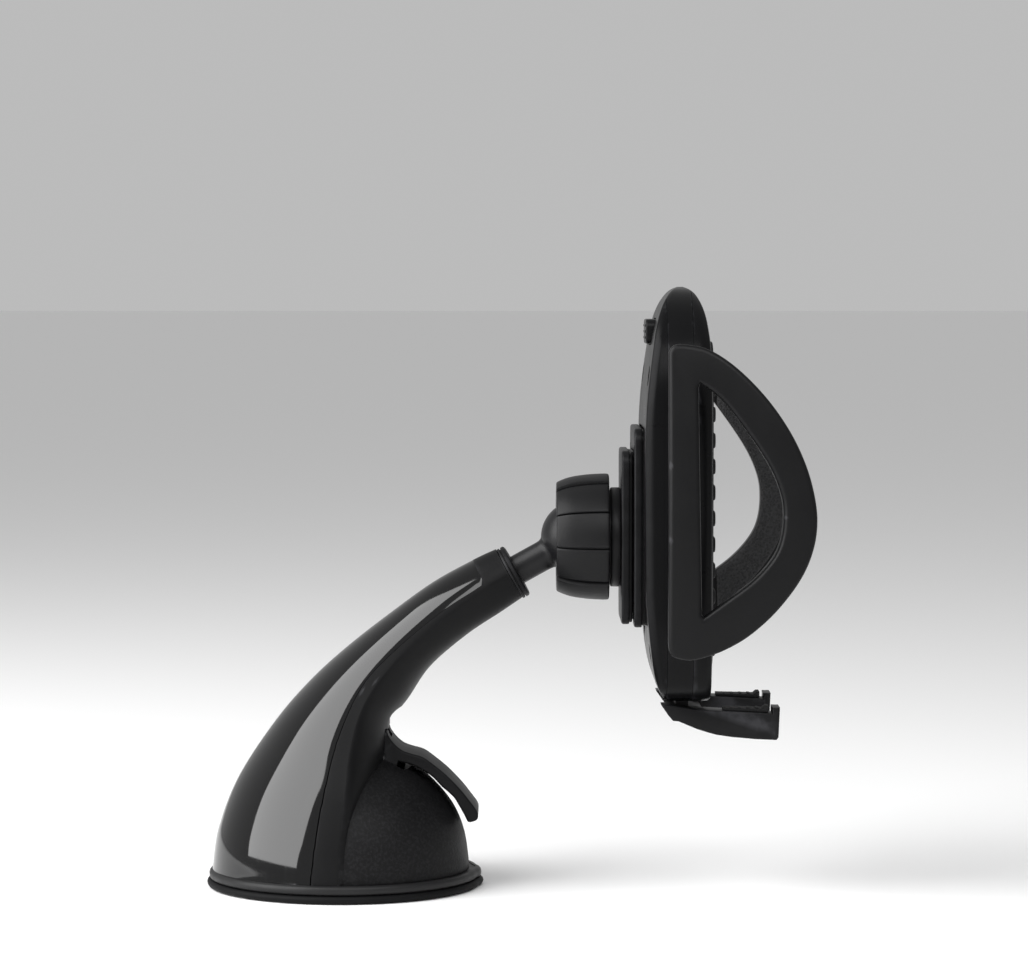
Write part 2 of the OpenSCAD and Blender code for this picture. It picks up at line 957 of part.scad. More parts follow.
// Flat spiral spring in the pinion's recess
module pinion_spring() {
    turns = 3;
    steps = 20;
    strip = 0.25;
    inner = [for (i = [0 : turns * steps]) let (r = 3.3 + 1.5 * i / (turns * steps), a = 360 * i / steps)
        [r * cos(a), r * sin(a)]];
    outer = [for (i = [turns * steps : -1 : 0])
        let (r = 3.3 + strip + 1.5 * i / (turns * steps), a = 360 * i / steps)
            [r * cos(a), r * sin(a)]];
    color("#a8a8ac")
        translate([0, 0, pinion_z])
            along(79.7, 81.2)
                polygon(concat(inner, outer));
}

// Rack with its teeth pointing down to a pinion at height 0, as (y, z)
module rack_outline(from, to) {
    pitch = PI * module_mm;
    half = pitch / 4 - backlash / 2;
    lean = tan(pressure);
    root = pitch_r + dedendum;
    tip = pitch_r - addendum;
    union() {
        translate([from, root])
            square([to - from, 2 * bar_half_h + 0.4]);
        for (k = [-5 : 4])
            translate([(k + 0.5) * pitch, 0])
                polygon([[-half - dedendum * lean, root + 0.1], [-half - dedendum * lean, root],
                         [-half + addendum * lean, tip], [half - addendum * lean, tip],
                         [half + dedendum * lean, root], [half + dedendum * lean, root + 0.1]]);
    }
}

// Outer and inner edges of a side arm as (x, z)
arm_outer_line = [
    [74.6, 59.8], [75.2, 57.9], [77, 57], [80.4, 56.7], [85.9, 58.4], [90.8, 60.9], [94.6, 63.7],
    [98.7, 67.6], [102.9, 72.9], [105.7, 77.9], [107.4, 83.4], [107.8, 89], [106.9, 95],
    [105, 101.2], [101.9, 107.7], [97.6, 114.1], [92.9, 119.4], [88.1, 123.6], [83.4, 126.4],
    [79.1, 127.4], [76, 127.4], [74.6, 126]
];
arm_inner_line = [
    [82.1, 66], [87.1, 69.7], [93.4, 74.5], [97.6, 79.2], [99.6, 83.4], [100.3, 88.7],
    [99.7, 94], [97.1, 100.3], [92.3, 107.7], [86.5, 115.1], [81.2, 119.1]
];

// Scales an outline about the middle of an arm's loop
module about_loop(factor) {
    middle = [90, 92];
    translate(middle)
        scale(factor)
            translate(-middle)
                children();
}

// Side arm's loop at rest on the +Y side
module arm_loop() {
    edge = 0.9;
    shrink = 0.975;
    union() {
        across(arm_inner_y, arm_outer_y - edge)
            difference() {
                polygon(smooth_line(arm_outer_line, 2));
                polygon(smooth_line(arm_inner_line, 3));
            }
        across(arm_outer_y - edge - 0.01, arm_outer_y)
            difference() {
                about_loop(shrink)
                    polygon(smooth_line(arm_outer_line, 2));
                translate([-0.4, 0])
                    about_loop(1.03)
                        polygon(smooth_line(arm_inner_line, 3));
            }
    }
}

// Far ends of the bars that run inside the frame, past its middle
rack_end = -15;
guide_end = -12;

// Rack and guide bar of the +Y arm, whose rack runs over the pinion
module arm_bars(guide_z) {
    union() {
        translate([0, 0, pinion_z])
            along(bar_back, bar_front)
                rack_outline(rack_end, arm_inner_y + 0.5);
        span([bar_back, guide_end, guide_z - bar_half_h],
             [bar_front, arm_inner_y + 0.5, guide_z + bar_half_h]);
    }
}

// Fine teeth on the far arm's rack that the pawl drops into
module ratchet_teeth() {
    tooth = 1.4;
    for (k = [-9 : 7])
        translate([0, k * tooth, 0])
            linear_extrude(height = 3)
                polygon([[bar_back + 0.1, 0], [bar_back - 0.8, 0.1], [bar_back + 0.1, tooth - 0.1]]);
}

module arm_far() {
    color("#1c1c1e")
        union() {
            arm_loop();
            arm_bars(guide_bar_far);
            translate([0, 0, rack_z + 1.2])
                ratchet_teeth();
        }
}

// The near arm's loop mirrors the far one, and its bars are the far ones turned about the pinion
module arm_near() {
    color("#1c1c1e")
        union() {
            mirror([0, 1, 0])
                arm_loop();
            translate([0, 0, 2 * pinion_z])
                rotate([180, 0, 0])
                    arm_bars(mirror_z(guide_bar_near));
        }
}

// Foam pad on the inner face of the +Y arm
module arm_pad() {
    across(arm_inner_y - arm_pad_t, arm_inner_y)
        intersection() {
            difference() {
                about_loop(0.955)
                    polygon(smooth_line(arm_outer_line, 2));
                polygon(smooth_line(arm_inner_line, 3));
            }
            translate([89, 60])
                square([30, 66]);
        }
}

module arm_pad_far() {
    color("#2a2a2c")
        arm_pad();
}

module arm_pad_near() {
    color("#2a2a2c")
        mirror([0, 1, 0])
            arm_pad();
}

// ---- Release button and pawl ----

pawl_x = 74.3;
pawl_z = 118;
pawl_pin_r = 0.8;
pawl_half_w = 4;

module release_button() {
    color("#101012")
        difference() {
            union() {
                along(70.6, 73.4)
                    round_rect(button_half_w, button_z - 2.9, button_z + 2.9, 1.8);
                for (z = [button_z - 1.4, button_z, button_z + 1.4])
                    span([70.4, -5, z - 0.3], [71, 5, z + 0.3]);
            }
            for (y = [-5.4, 5.4])
                rod_x(1.5, 71.6, 74, y, button_z);
        }
}

module button_springs() {
    color("#a8a8ac")
        for (y = [-5.4, 5.4])
            translate([frame_back - 2.2, y, button_z])
                rotate([0, 90, 0])
                    coil(1.0, 0.22, 3, 2.18);
}

module latch_pawl() {
    nose_z = rack_z + 2.7;
    color("#8f8f94")
        difference() {
            union() {
                rod_y(1.7, pawl_half_w, pawl_x, pawl_z);
                span([73.7, -pawl_half_w, nose_z - 1.2], [74.8, pawl_half_w, 132]);
                across(-0.5, 0.5)
                    polygon([[74.2, nose_z - 1.2], [bar_back - 0.95, nose_z - 1.2],
                             [bar_back - 0.95, nose_z + 1.2], [74.2, nose_z + 2.4]]);
            }
            rod_y(pawl_pin_r + fit, 8, pawl_x, pawl_z);
        }
}

module pawl_pin() {
    color("#b0b0b4")
        rod_y(pawl_pin_r, 6.4, pawl_x, pawl_z);
}

// ---- Foot ----

foot_plate_half = 14;
foot_plate_front = 80.4;
prong_in = 12.5;
prong_out = 20;
foot_side = [
    [73.9, 44.2], [75.5, 41.9], [76.6, 40.6], [77.9, 40.5], [80, 39.6], [82.2, 38.7], [84.4, 38],
    [86.6, 37.4], [90, 36.9], [95.6, 36.4], [100.4, 36.2], [100.9, 36.8], [101.2, 43.7],
    [99.5, 43.7], [99.5, 42.2], [99.1, 42.2], [98.9, 42.4], [90, 42.8], [81.6, 43.3], [76, 44.2]
];

module foot_bracket() {
    color("#19191b")
        difference() {
            union() {
                both_sides()
                    across(prong_in, prong_out)
                        polygon(foot_side);
                across(-prong_in - 0.1, prong_in + 0.1)
                    polygon([[75, 43.6], [76.6, 41], [80, 39.8], [84, 38.6], [84, 41.8], [80, 42.6],
                             [80, 43.6]]);
                span([inner_back + gap, -foot_plate_half, 41], [foot_plate_front, foot_plate_half, 66]);
            }
            for (y = [-7, 7])
                along(inner_back - over, foot_plate_front + over)
                    translate([y, 0])
                        round_rect(2, 50, 62, 1.9);
        }
}

module foot_pads() {
    color("#262629")
        both_sides()
            union() {
                across(prong_in + 1, prong_out - 1)
                    polygon([[88.2, 42.95], [98.6, 42.48], [98.6, 43.9], [97.9, 43.9], [97.2, 43.3],
                             [88.2, 43.5]]);
                for (x = [89.6 : 2 : 96])
                    span([x, prong_in + 1.6, 43.1], [x + 0.8, prong_out - 1.6, 43.7]);
            }
}

suction_pad();
pad_diaphragm();
base_ring();
base_housing();
arm_cover();
stem_guide();
guide_screws();
arm_collar();
ball_stud();
pull_stem();
suction_spring();
lock_lever();
crank_pin();
lever_pin();
rear_seat();
front_seat();
socket_cup();
clamp_nut();
mount_plate();
plate_screws();
rail_block();
rail_screws();
back_cover();
body_frame();
front_panel();
front_pad();
cradle_screws();
pinion_axle();
pinion();
pinion_spring();
arm_near();
arm_far();
arm_pad_near();
arm_pad_far();
release_button();
button_springs();
latch_pawl();
pawl_pin();
foot_bracket();
foot_pads();
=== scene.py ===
"""Looks of the car phone mount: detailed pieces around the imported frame, soft studio light
and a camera at the product view's angle. Lengths in the shape code are millimetres."""

import json
import math

import bmesh
import bpy
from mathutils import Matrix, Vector


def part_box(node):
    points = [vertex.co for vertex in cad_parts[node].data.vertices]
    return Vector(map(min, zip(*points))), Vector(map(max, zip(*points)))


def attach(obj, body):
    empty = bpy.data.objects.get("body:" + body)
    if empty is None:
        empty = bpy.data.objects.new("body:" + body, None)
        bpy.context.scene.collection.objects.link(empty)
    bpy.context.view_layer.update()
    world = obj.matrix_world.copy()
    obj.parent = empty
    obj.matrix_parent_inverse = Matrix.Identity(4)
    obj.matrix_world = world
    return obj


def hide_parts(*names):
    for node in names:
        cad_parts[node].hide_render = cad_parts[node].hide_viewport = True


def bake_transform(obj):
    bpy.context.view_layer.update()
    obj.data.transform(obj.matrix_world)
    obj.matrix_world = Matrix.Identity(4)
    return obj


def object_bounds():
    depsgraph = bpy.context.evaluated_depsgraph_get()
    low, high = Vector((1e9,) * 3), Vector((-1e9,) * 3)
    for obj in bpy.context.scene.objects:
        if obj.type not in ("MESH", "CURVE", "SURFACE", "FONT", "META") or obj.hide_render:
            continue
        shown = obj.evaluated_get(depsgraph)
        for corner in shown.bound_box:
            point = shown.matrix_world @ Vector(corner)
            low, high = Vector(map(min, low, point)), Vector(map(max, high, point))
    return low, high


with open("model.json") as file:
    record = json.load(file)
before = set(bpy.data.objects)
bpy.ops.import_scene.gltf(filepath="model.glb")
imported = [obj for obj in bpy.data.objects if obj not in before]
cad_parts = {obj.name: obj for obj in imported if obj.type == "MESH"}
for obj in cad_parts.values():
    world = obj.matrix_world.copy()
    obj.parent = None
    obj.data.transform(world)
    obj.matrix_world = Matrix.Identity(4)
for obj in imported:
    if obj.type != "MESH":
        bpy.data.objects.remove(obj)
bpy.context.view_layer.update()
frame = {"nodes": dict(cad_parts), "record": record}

MM = 0.001
SIDES = 96


# ---------------------------------------------------------------- small helpers

def lerp(a, b, t):
    """Blend of two numbers."""
    return a + (b - a) * t


def box_mm(node):
    """Lowest and highest corner of a CAD node at rest, in millimetres."""
    low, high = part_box(node)
    return low / MM, high / MM


def middle_of(node):
    """Middle of a CAD node's box, in millimetres."""
    low, high = box_mm(node)
    return (low + high) / 2


def moved(points, u, v):
    """Flat outline moved by (u, v)."""
    return [(a + u, b + v) for a, b in points]


def spline(points, steps):
    """Catmull-Rom line through points of any dimension, with steps to each span."""
    line = []
    last = len(points) - 1
    for i in range(last):
        a, b = points[max(i - 1, 0)], points[i]
        c, d = points[i + 1], points[min(i + 2, last)]
        for k in range(steps):
            t = k / steps
            line.append(tuple(
                0.5 * (2 * q + (r - p) * t + (2 * p - 5 * q + 4 * r - s) * t * t
                       + (3 * q - p - 3 * r + s) * t ** 3)
                for p, q, r, s in zip(a, b, c, d)))
    line.append(tuple(points[last]))
    return line


def table_value(table, x):
    """Value at x of a table of (x, value) rows, in straight lines between them."""
    if x <= table[0][0]:
        return table[0][1]
    for (x0, v0), (x1, v1) in zip(table, table[1:]):
        if x <= x1:
            return lerp(v0, v1, (x - x0) / (x1 - x0))
    return table[-1][1]


def make_object(name, verts, faces, scale=MM):
    """A mesh object from millimetre points, with its normals turned outward."""
    mesh = bpy.data.meshes.new(name)
    mesh.from_pydata([tuple(c * scale for c in v) for v in verts], [], faces)
    obj = bpy.data.objects.new(name, mesh)
    bpy.context.scene.collection.objects.link(obj)
    tidy_mesh(obj)
    return obj


def tidy_mesh(obj):
    """Merges doubles and turns the faces outward."""
    bm = bmesh.new()
    bm.from_mesh(obj.data)
    bmesh.ops.remove_doubles(bm, verts=bm.verts, dist=1e-7)
    bmesh.ops.recalc_face_normals(bm, faces=bm.faces)
    bm.to_mesh(obj.data)
    bm.free()


def clean(obj):
    """Welds the slivers that a boolean leaves and closes any pinhole."""
    bm = bmesh.new()
    bm.from_mesh(obj.data)
    bmesh.ops.remove_doubles(bm, verts=bm.verts, dist=0.012 * MM)
    bmesh.ops.dissolve_degenerate(bm, edges=bm.edges, dist=0.004 * MM)
    rims = [edge for edge in bm.edges if len(edge.link_faces) == 1]
    bmesh.ops.holes_fill(bm, edges=rims, sides=24)
    loose = [vert for vert in bm.verts if not vert.link_faces]
    bmesh.ops.delete(bm, geom=loose, context="VERTS")
    bm.to_mesh(obj.data)
    bm.free()


def shade(obj, angle=35):
    """Smooth shading that keeps edges sharper than the angle."""
    for polygon in obj.data.polygons:
        polygon.use_smooth = True
    bm = bmesh.new()
    bm.from_mesh(obj.data)
    limit = math.radians(angle)
    for edge in bm.edges:
        edge.smooth = len(edge.link_faces) == 2 and edge.calc_face_angle(0) < limit
    bm.to_mesh(obj.data)
    bm.free()


def tube(rings, closed_ends=True, looped=False):
    """Vertices and faces of a tube through rings of equal length."""
    count = len(rings[0])
    verts = [p for ring in rings for p in ring]
    faces = []
    spans = len(rings) if looped else len(rings) - 1
    for i in range(spans):
        a, b = i * count, ((i + 1) % len(rings)) * count
        for k in range(count):
            n = (k + 1) % count
            faces.append((a + k, a + n, b + n, b + k))
    if closed_ends and not looped:
        faces.append(tuple(range(count)))
        faces.append(tuple(range(len(verts) - 1, len(verts) - count - 1, -1)))
    return verts, faces


def lathe(profile, axis, centre, sides=SIDES, radius_at=None):
    """Closed turned shape. profile is (along, radius) round a closed loop; axis is a unit vector."""
    axis = Vector(axis).normalized()
    side = axis.cross(Vector((0, 1, 0)))
    if side.length < 0.1:
        side = axis.cross(Vector((1, 0, 0)))
    side.normalize()
    up = axis.cross(side).normalized()
    centre = Vector(centre)
    rings = []
    for along, radius in profile:
        ring = []
        for k in range(sides):
            angle = 2 * math.pi * k / sides
            r = radius_at(along, radius, angle) if radius_at else radius
            ring.append(tuple(centre + axis * along
                              + side * (r * math.cos(angle)) + up * (r * math.sin(angle))))
        rings.append(ring)
    return tube(rings, looped=True)


def arc_corner(x, z, r, start, end, steps=4):
    """Points of an arc, angles in degrees."""
    return [(x + r * math.cos(math.radians(lerp(start, end, k / steps))),
             z + r * math.sin(math.radians(lerp(start, end, k / steps))))
            for k in range(steps + 1)]


def round_rect(half_w, low, high, r, steps=6):
    """Outline of a rectangle with round corners, centred on 0 across."""
    return (arc_corner(half_w - r, low + r, r, -90, 0, steps)
            + arc_corner(half_w - r, high - r, r, 0, 90, steps)
            + arc_corner(r - half_w, high - r, r, 90, 180, steps)
            + arc_corner(r - half_w, low + r, r, 180, 270, steps))


def area_of(loop):
    """Signed area of a closed outline."""
    return 0.5 * sum(a[0] * b[1] - b[0] * a[1] for a, b in zip(loop, loop[1:] + loop[:1]))


def inset(loop, d):
    """Closed outline drawn inward by d along its corners' mean normals."""
    sign = 1 if area_of(loop) > 0 else -1
    out = []
    count = len(loop)
    for i, p in enumerate(loop):
        a, b = loop[i - 1], loop[(i + 1) % count]
        e1 = Vector((p[0] - a[0], p[1] - a[1]))
        e2 = Vector((b[0] - p[0], b[1] - p[1]))
        if e1.length < 1e-9:
            e1 = e2
        if e2.length < 1e-9:
            e2 = e1
        n1 = Vector((-e1.y, e1.x)).normalized()
        n2 = Vector((-e2.y, e2.x)).normalized()
        n = (n1 + n2)
        n = n.normalized() if n.length > 1e-6 else n1
        reach = d / max(n.dot(n1), 0.5)
        out.append((p[0] + sign * n.x * reach, p[1] + sign * n.y * reach))
    return out


def place(kind, u, v, w):
    """A point from (u, v) in an outline's plane and w along its axis."""
    if kind == "x":
        return (w, u, v)
    if kind == "y":
        return (u, w, v)
    return (u, v, w)


def rounded_prism(outline, kind, low, high, r_low, r_high, hole=None, steps=4):
    """Extruded outline with rounded rims; with a hole of as many points, an open loop."""
    levels = [(low + r_low * (1 - math.cos(math.pi / 2 * k / steps)),
               r_low * (1 - math.sin(math.pi / 2 * k / steps))) for k in range(steps + 1)]
    levels += [(high - r_high * (1 - math.cos(math.pi / 2 * k / steps)),
                r_high * (1 - math.sin(math.pi / 2 * k / steps))) for k in range(steps, -1, -1)]
    outer = [[place(kind, u, v, w) for u, v in inset(outline, d)] for w, d in levels]
    if hole is None:
        return tube(outer)
    inner = [[place(kind, u, v, w) for u, v in inset(hole, -d)] for w, d in reversed(levels)]
    return tube(outer + inner, looped=True)


def cut(obj, cutter):
    """Takes the cutter's solid out of the object and applies the result."""
    return solid_op(obj, cutter, "DIFFERENCE")


def solid_op(obj, other, operation):
    """Exact boolean, applied; the other object is used up."""
    modifier = obj.modifiers.new("cut", "BOOLEAN")
    modifier.operation = operation
    modifier.solver = "EXACT"
    modifier.object = other
    depsgraph = bpy.context.evaluated_depsgraph_get()
    mesh = bpy.data.meshes.new_from_object(obj.evaluated_get(depsgraph))
    obj.modifiers.remove(modifier)
    obj.data = mesh
    bpy.data.objects.remove(other)
    return obj


def join(obj, solid):
    """Unites a solid, given as vertices and faces, with the object."""
    return solid_op(obj, make_object("added", *solid), "UNION")


def box_cutter(low, high):
    """A plain box to cut with."""
    corners = [(x, y, z) for x in (low[0], high[0]) for y in (low[1], high[1])
               for z in (low[2], high[2])]
    faces = [(0, 1, 3, 2), (4, 6, 7, 5), (0, 4, 5, 1), (2, 3, 7, 6), (0, 2, 6, 4), (1, 5, 7, 3)]
    return make_object("cutter", corners, faces)


# ---------------------------------------------------------------- materials

def node_material(name):
    """A new node material and its principled shader."""
    material = bpy.data.materials.new(name)
    material.use_nodes = True
    shader = material.node_tree.nodes["Principled BSDF"]
    return material, material.node_tree, shader


def link(tree, source, target):
    """Joins two sockets."""
    tree.links.new(source, target)


def noise(tree, scale, detail=4, rough=0.55, stretch=(1, 1, 1)):
    """Noise in object space, its scale in features per metre."""
    coords = tree.nodes.new("ShaderNodeTexCoord")
    mapping = tree.nodes.new("ShaderNodeMapping")
    mapping.inputs["Scale"].default_value = stretch
    texture = tree.nodes.new("ShaderNodeTexNoise")
    texture.inputs["Scale"].default_value = scale
    texture.inputs["Detail"].default_value = detail
    texture.inputs["Roughness"].default_value = rough
    link(tree, coords.outputs["Object"], mapping.inputs["Vector"])
    link(tree, mapping.outputs["Vector"], texture.inputs["Vector"])
    return texture.outputs["Fac"]


def remap(tree, value, low, high, to_low, to_high):
    """Value from one range to another, held at its ends."""
    node = tree.nodes.new("ShaderNodeMapRange")
    node.inputs["From Min"].default_value = low
    node.inputs["From Max"].default_value = high
    node.inputs["To Min"].default_value = to_low
    node.inputs["To Max"].default_value = to_high
    link(tree, value, node.inputs["Value"])
    return node.outputs["Result"]


def mix_colour(tree, factor, first, second):
    """Mix of two colours by a factor socket."""
    node = tree.nodes.new("ShaderNodeMix")
    node.data_type = "RGBA"
    link(tree, factor, node.inputs["Factor"])
    node.inputs["A"].default_value = (*first, 1)
    node.inputs["B"].default_value = (*second, 1)
    return node.outputs["Result"]


def bump(tree, height, strength, distance, normal=None):
    """Bump from a height socket; distance in metres."""
    node = tree.nodes.new("ShaderNodeBump")
    node.inputs["Strength"].default_value = strength
    node.inputs["Distance"].default_value = distance
    link(tree, height, node.inputs["Height"])
    if normal is not None:
        link(tree, normal, node.inputs["Normal"])
    return node.outputs["Normal"]


def edge_wear(tree, low=0.52, high=0.62):
    """Bright where the mesh has a convex edge, broken up by noise."""
    geometry = tree.nodes.new("ShaderNodeNewGeometry")
    edge = remap(tree, geometry.outputs["Pointiness"], low, high, 0, 1)
    patch = remap(tree, noise(tree, 220, 3), 0.42, 0.62, 0.15, 1)
    node = tree.nodes.new("ShaderNodeMath")
    node.operation = "MULTIPLY"
    link(tree, edge, node.inputs[0])
    link(tree, patch, node.inputs[1])
    return node.outputs[0]


ROUGH_SPREAD = 0.05


def plastic(name, colour, worn, rough, grain, grain_depth, specular=0.5):
    """Moulded plastic: faint colour drift, worn edges, fine moulded grain in the bump."""
    material, tree, shader = node_material(name)
    drift = mix_colour(tree, noise(tree, 35, 5), colour, tuple(c * 1.35 for c in colour))
    wear = tree.nodes.new("ShaderNodeMix")
    wear.data_type = "RGBA"
    link(tree, edge_wear(tree), wear.inputs["Factor"])
    link(tree, drift, wear.inputs["A"])
    wear.inputs["B"].default_value = (*worn, 1)
    link(tree, wear.outputs["Result"], shader.inputs["Base Color"])
    link(tree, remap(tree, noise(tree, 90, 6, 0.65), 0.3, 0.7,
                     rough - ROUGH_SPREAD, rough + ROUGH_SPREAD), shader.inputs["Roughness"])
    fine = bump(tree, noise(tree, grain, 2, 0.5), 0.5, grain_depth)
    link(tree, fine, shader.inputs["Normal"])
    shader.inputs["Specular IOR Level"].default_value = specular
    return material


def speckled(name, colour, rough):
    """Spark-eroded mould texture: pits and grains a third of a millimetre across."""
    material, tree, shader = node_material(name)
    grains = noise(tree, 1500, 3, 0.6)
    link(tree, mix_colour(tree, remap(tree, grains, 0.45, 0.66, 0, 1), colour,
                          tuple(c * 2.2 for c in colour)), shader.inputs["Base Color"])
    link(tree, remap(tree, noise(tree, 120, 5), 0.3, 0.7, rough - 0.06, rough + 0.06),
         shader.inputs["Roughness"])
    coarse = bump(tree, noise(tree, 260, 4), 0.25, 0.0001)
    link(tree, bump(tree, grains, 0.8, 0.00012, coarse), shader.inputs["Normal"])
    shader.inputs["Specular IOR Level"].default_value = 0.14
    return material


def glossy(name, colour):
    """Piano-black plastic: near mirror with very faint orange peel and hairline scuffs."""
    material, tree, shader = node_material(name)
    link(tree, mix_colour(tree, noise(tree, 60, 4), colour, tuple(c * 1.2 for c in colour)),
         shader.inputs["Base Color"])
    scuffs = remap(tree, noise(tree, 900, 4, 0.6, (1, 1, 0.08)), 0.62, 0.75, 0.0, 0.05)
    rough = tree.nodes.new("ShaderNodeMath")
    rough.operation = "ADD"
    link(tree, scuffs, rough.inputs[0])
    link(tree, remap(tree, noise(tree, 40, 3), 0.3, 0.7, 0.035, 0.06), rough.inputs[1])
    link(tree, rough.outputs[0], shader.inputs["Roughness"])
    link(tree, bump(tree, noise(tree, 300, 2), 0.03, 0.00002), shader.inputs["Normal"])
    shader.inputs["IOR"].default_value = 1.5
    return material


def rubber(name, colour, rough=0.62, specular=0.5):
    """Soft rubber: dull, slightly dusty, with a fine pebbled skin."""
    material, tree, shader = node_material(name)
    dust = remap(tree, noise(tree, 70, 6, 0.7), 0.5, 0.72, 0, 0.8)
    link(tree, mix_colour(tree, dust, colour, tuple(c * 1.5 for c in colour)),
         shader.inputs["Base Color"])
    link(tree, remap(tree, noise(tree, 150, 4), 0.3, 0.7, rough - 0.07, rough + 0.07),
         shader.inputs["Roughness"])
    link(tree, bump(tree, noise(tree, 1100, 3), 0.4, 0.00005), shader.inputs["Normal"])
    shader.inputs["Specular IOR Level"].default_value = specular
    return material


def foam(name, colour):
    """Closed-cell foam: small round cells that read as pits, with the colour painted darker in each
    pit as painted shade.
    """
    material, tree, shader = node_material(name)
    coords = tree.nodes.new("ShaderNodeTexCoord")
    cells = tree.nodes.new("ShaderNodeTexVoronoi")
    cells.inputs["Scale"].default_value = 1700
    link(tree, coords.outputs["Object"], cells.inputs["Vector"])
    # painted shade: the colour is darkest in each cell's pit, where the bump sinks it, and lighter
    # toward the cell's rim
    link(tree, mix_colour(tree, remap(tree, cells.outputs["Distance"], 0.1, 0.7, 0, 1),
                          tuple(c * 0.5 for c in colour), tuple(c * 1.5 for c in colour)),
         shader.inputs["Base Color"])
    shader.inputs["Roughness"].default_value = 0.95
    soft = bump(tree, noise(tree, 420, 4), 0.5, 0.0002)
    link(tree, bump(tree, cells.outputs["Distance"], 0.9, 0.0003, soft), shader.inputs["Normal"])
    return material


def metal(name, colour, rough):
    """Turned or drawn metal with fine lines along Z."""
    material, tree, shader = node_material(name)
    lines = noise(tree, 1200, 3, 0.6, (1, 1, 0.05))
    link(tree, mix_colour(tree, lines, tuple(c * 0.8 for c in colour), colour),
         shader.inputs["Base Color"])
    shader.inputs["Metallic"].default_value = 1
    link(tree, remap(tree, lines, 0.3, 0.7, rough - 0.08, rough + 0.1),
         shader.inputs["Roughness"])
    link(tree, bump(tree, lines, 0.3, 0.00003), shader.inputs["Normal"])
    return material


LOOKS = {
    "lever": plastic("lever_black_plastic", (0.0040, 0.0040, 0.0043), (0.03, 0.03, 0.033),
                     0.45, 2600, 0.00004, 0.12),
    "satin": plastic("satin_black_plastic", (0.0055, 0.0055, 0.0060), (0.025, 0.025, 0.027),
                     0.36, 2600, 0.00002, 0.22),
    "grip": plastic("grip_black_plastic", (0.0050, 0.0050, 0.0054), (0.04, 0.04, 0.043),
                    0.42, 2400, 0.00004, 0.18),
    "shell": plastic("shell_black_plastic", (0.0030, 0.0030, 0.0033), (0.02, 0.02, 0.022),
                     0.30, 2200, 0.00002, 0.08),
    "arm": plastic("arm_black_plastic", (0.0036, 0.0036, 0.0039), (0.03, 0.03, 0.033),
                   0.38, 2400, 0.00003, 0.15),
    "matte": plastic("matte_black_plastic", (0.0040, 0.0040, 0.0043), (0.03, 0.03, 0.033),
                     0.42, 2600, 0.00004, 0.12),
    "cradle": plastic("cradle_black_plastic", (0.0032, 0.0032, 0.0035), (0.02, 0.02, 0.022),
                      0.30, 2200, 0.00003, 0.1),
    "plate": plastic("plate_black_plastic", (0.0040, 0.0040, 0.0043), (0.03, 0.03, 0.033),
                     0.38, 2200, 0.00003, 0.11),
    "dome": speckled("speckled_black_plastic", (0.0050, 0.0050, 0.0054), 0.5),
    "gloss": glossy("piano_black_plastic", (0.0015, 0.0015, 0.0017)),
    "rubber": rubber("black_rubber", (0.0070, 0.0070, 0.0074), 0.62, 0.2),
    "ring": rubber("grey_black_rubber", (0.0100, 0.0100, 0.0105), 0.45, 0.25),
    "pad": rubber("pad_rubber", (0.0050, 0.0050, 0.0054), 0.6, 0.1),
    "screw": metal("blackened_steel", (0.05, 0.05, 0.052), 0.42),
    "foam": foam("black_foam_painted_pit_shade", (0.013, 0.013, 0.0136)),
    "nylon": plastic("natural_nylon", (0.62, 0.60, 0.55), (0.75, 0.74, 0.7), 0.42, 900,
                     0.00003),
    "steel": metal("plated_steel", (0.56, 0.56, 0.57), 0.3),
}
SLOT_LOOKS = {
    "matte_black": "matte", "gloss_black": "gloss", "soft_rubber": "rubber",
    "foam": "foam", "nylon": "nylon", "steel": "steel",
}


def paint(obj, look):
    """Gives an object one material."""
    obj.data.materials.clear()
    obj.data.materials.append(LOOKS[look])


def piece(obj, body, look, slot, *replaced, angle=35):
    """Finishes a piece: shading, material, body and the CAD nodes it stands for. The slot argument
    is not used.
    """
    clean(obj)
    shade(obj, angle)
    paint(obj, look)
    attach(obj, body)
    if replaced:
        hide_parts(*replaced)
    return obj


# every CAD node starts with the look of its record slot
node_slots = {row["node"]: row["material_slot"] for row in frame["record"]["subparts"]}
for node_name, node_object in frame["nodes"].items():
    paint(node_object, SLOT_LOOKS[node_slots[node_name]])


# darkened screws, and a black seat where the ball enters the nut
for node_name in ("cradle_screws", "rail_screws"):
    paint(frame["nodes"][node_name], "screw")
paint(frame["nodes"]["rear_seat"], "satin")


# ---------------------------------------------------------------- base and arm

ARM_SECTIONS = [
    (-31, 4, 6, 4, 0.857, 30.2), (-29.5, 13.7, 7, 12, 0.835, 29.2),
    (-24.7, 25.7, 9, 22, 0.785, 26.4), (-15.9, 38.9, 11, 31, 0.69, 21.6),
    (-7.6, 48.4, 11.6, 38.6, 0.65, 18), (1, 56.2, 15.4, 44.2, 0.57, 14.8),
    (11, 64, 20.5, 51.6, 0.56, 11.9), (21, 71.2, 29, 58.9, 0.54, 9.6),
    (30.4, 76.4, 37, 64.2, 0.5, 7.8), (35.7, 78.9, 42, 67.6, 0.5, 6.5),
]
COVER_EDGE = [
    (-6.5, 3), (-5.1, 14.8), (-3, 26.4), (-0.1, 37.4), (5.2, 48.5), (13.4, 57),
    (23.3, 65), (29.8, 69.2), (34.6, 72.2), (38, 74),
]
DOME = [
    (29.4, 4), (29.2, 7), (28.3, 12.5), (26.2, 17.9), (22.8, 22.6), (18.2, 27), (12, 31),
    (6, 33.4), (0, 34.2),
]
COVER_WALL = 1.5
COVER_END = 8
BASE_LOW = box_mm("base_housing")[0].z
BASE_TOP = 34.2
OUTER_TURN = math.radians(88)
INNER_TURN = math.radians(35)
PIVOT = (middle_of("lever_pin").x, middle_of("lever_pin").z)
LEVER_HALF = box_mm("lock_lever")[1].y


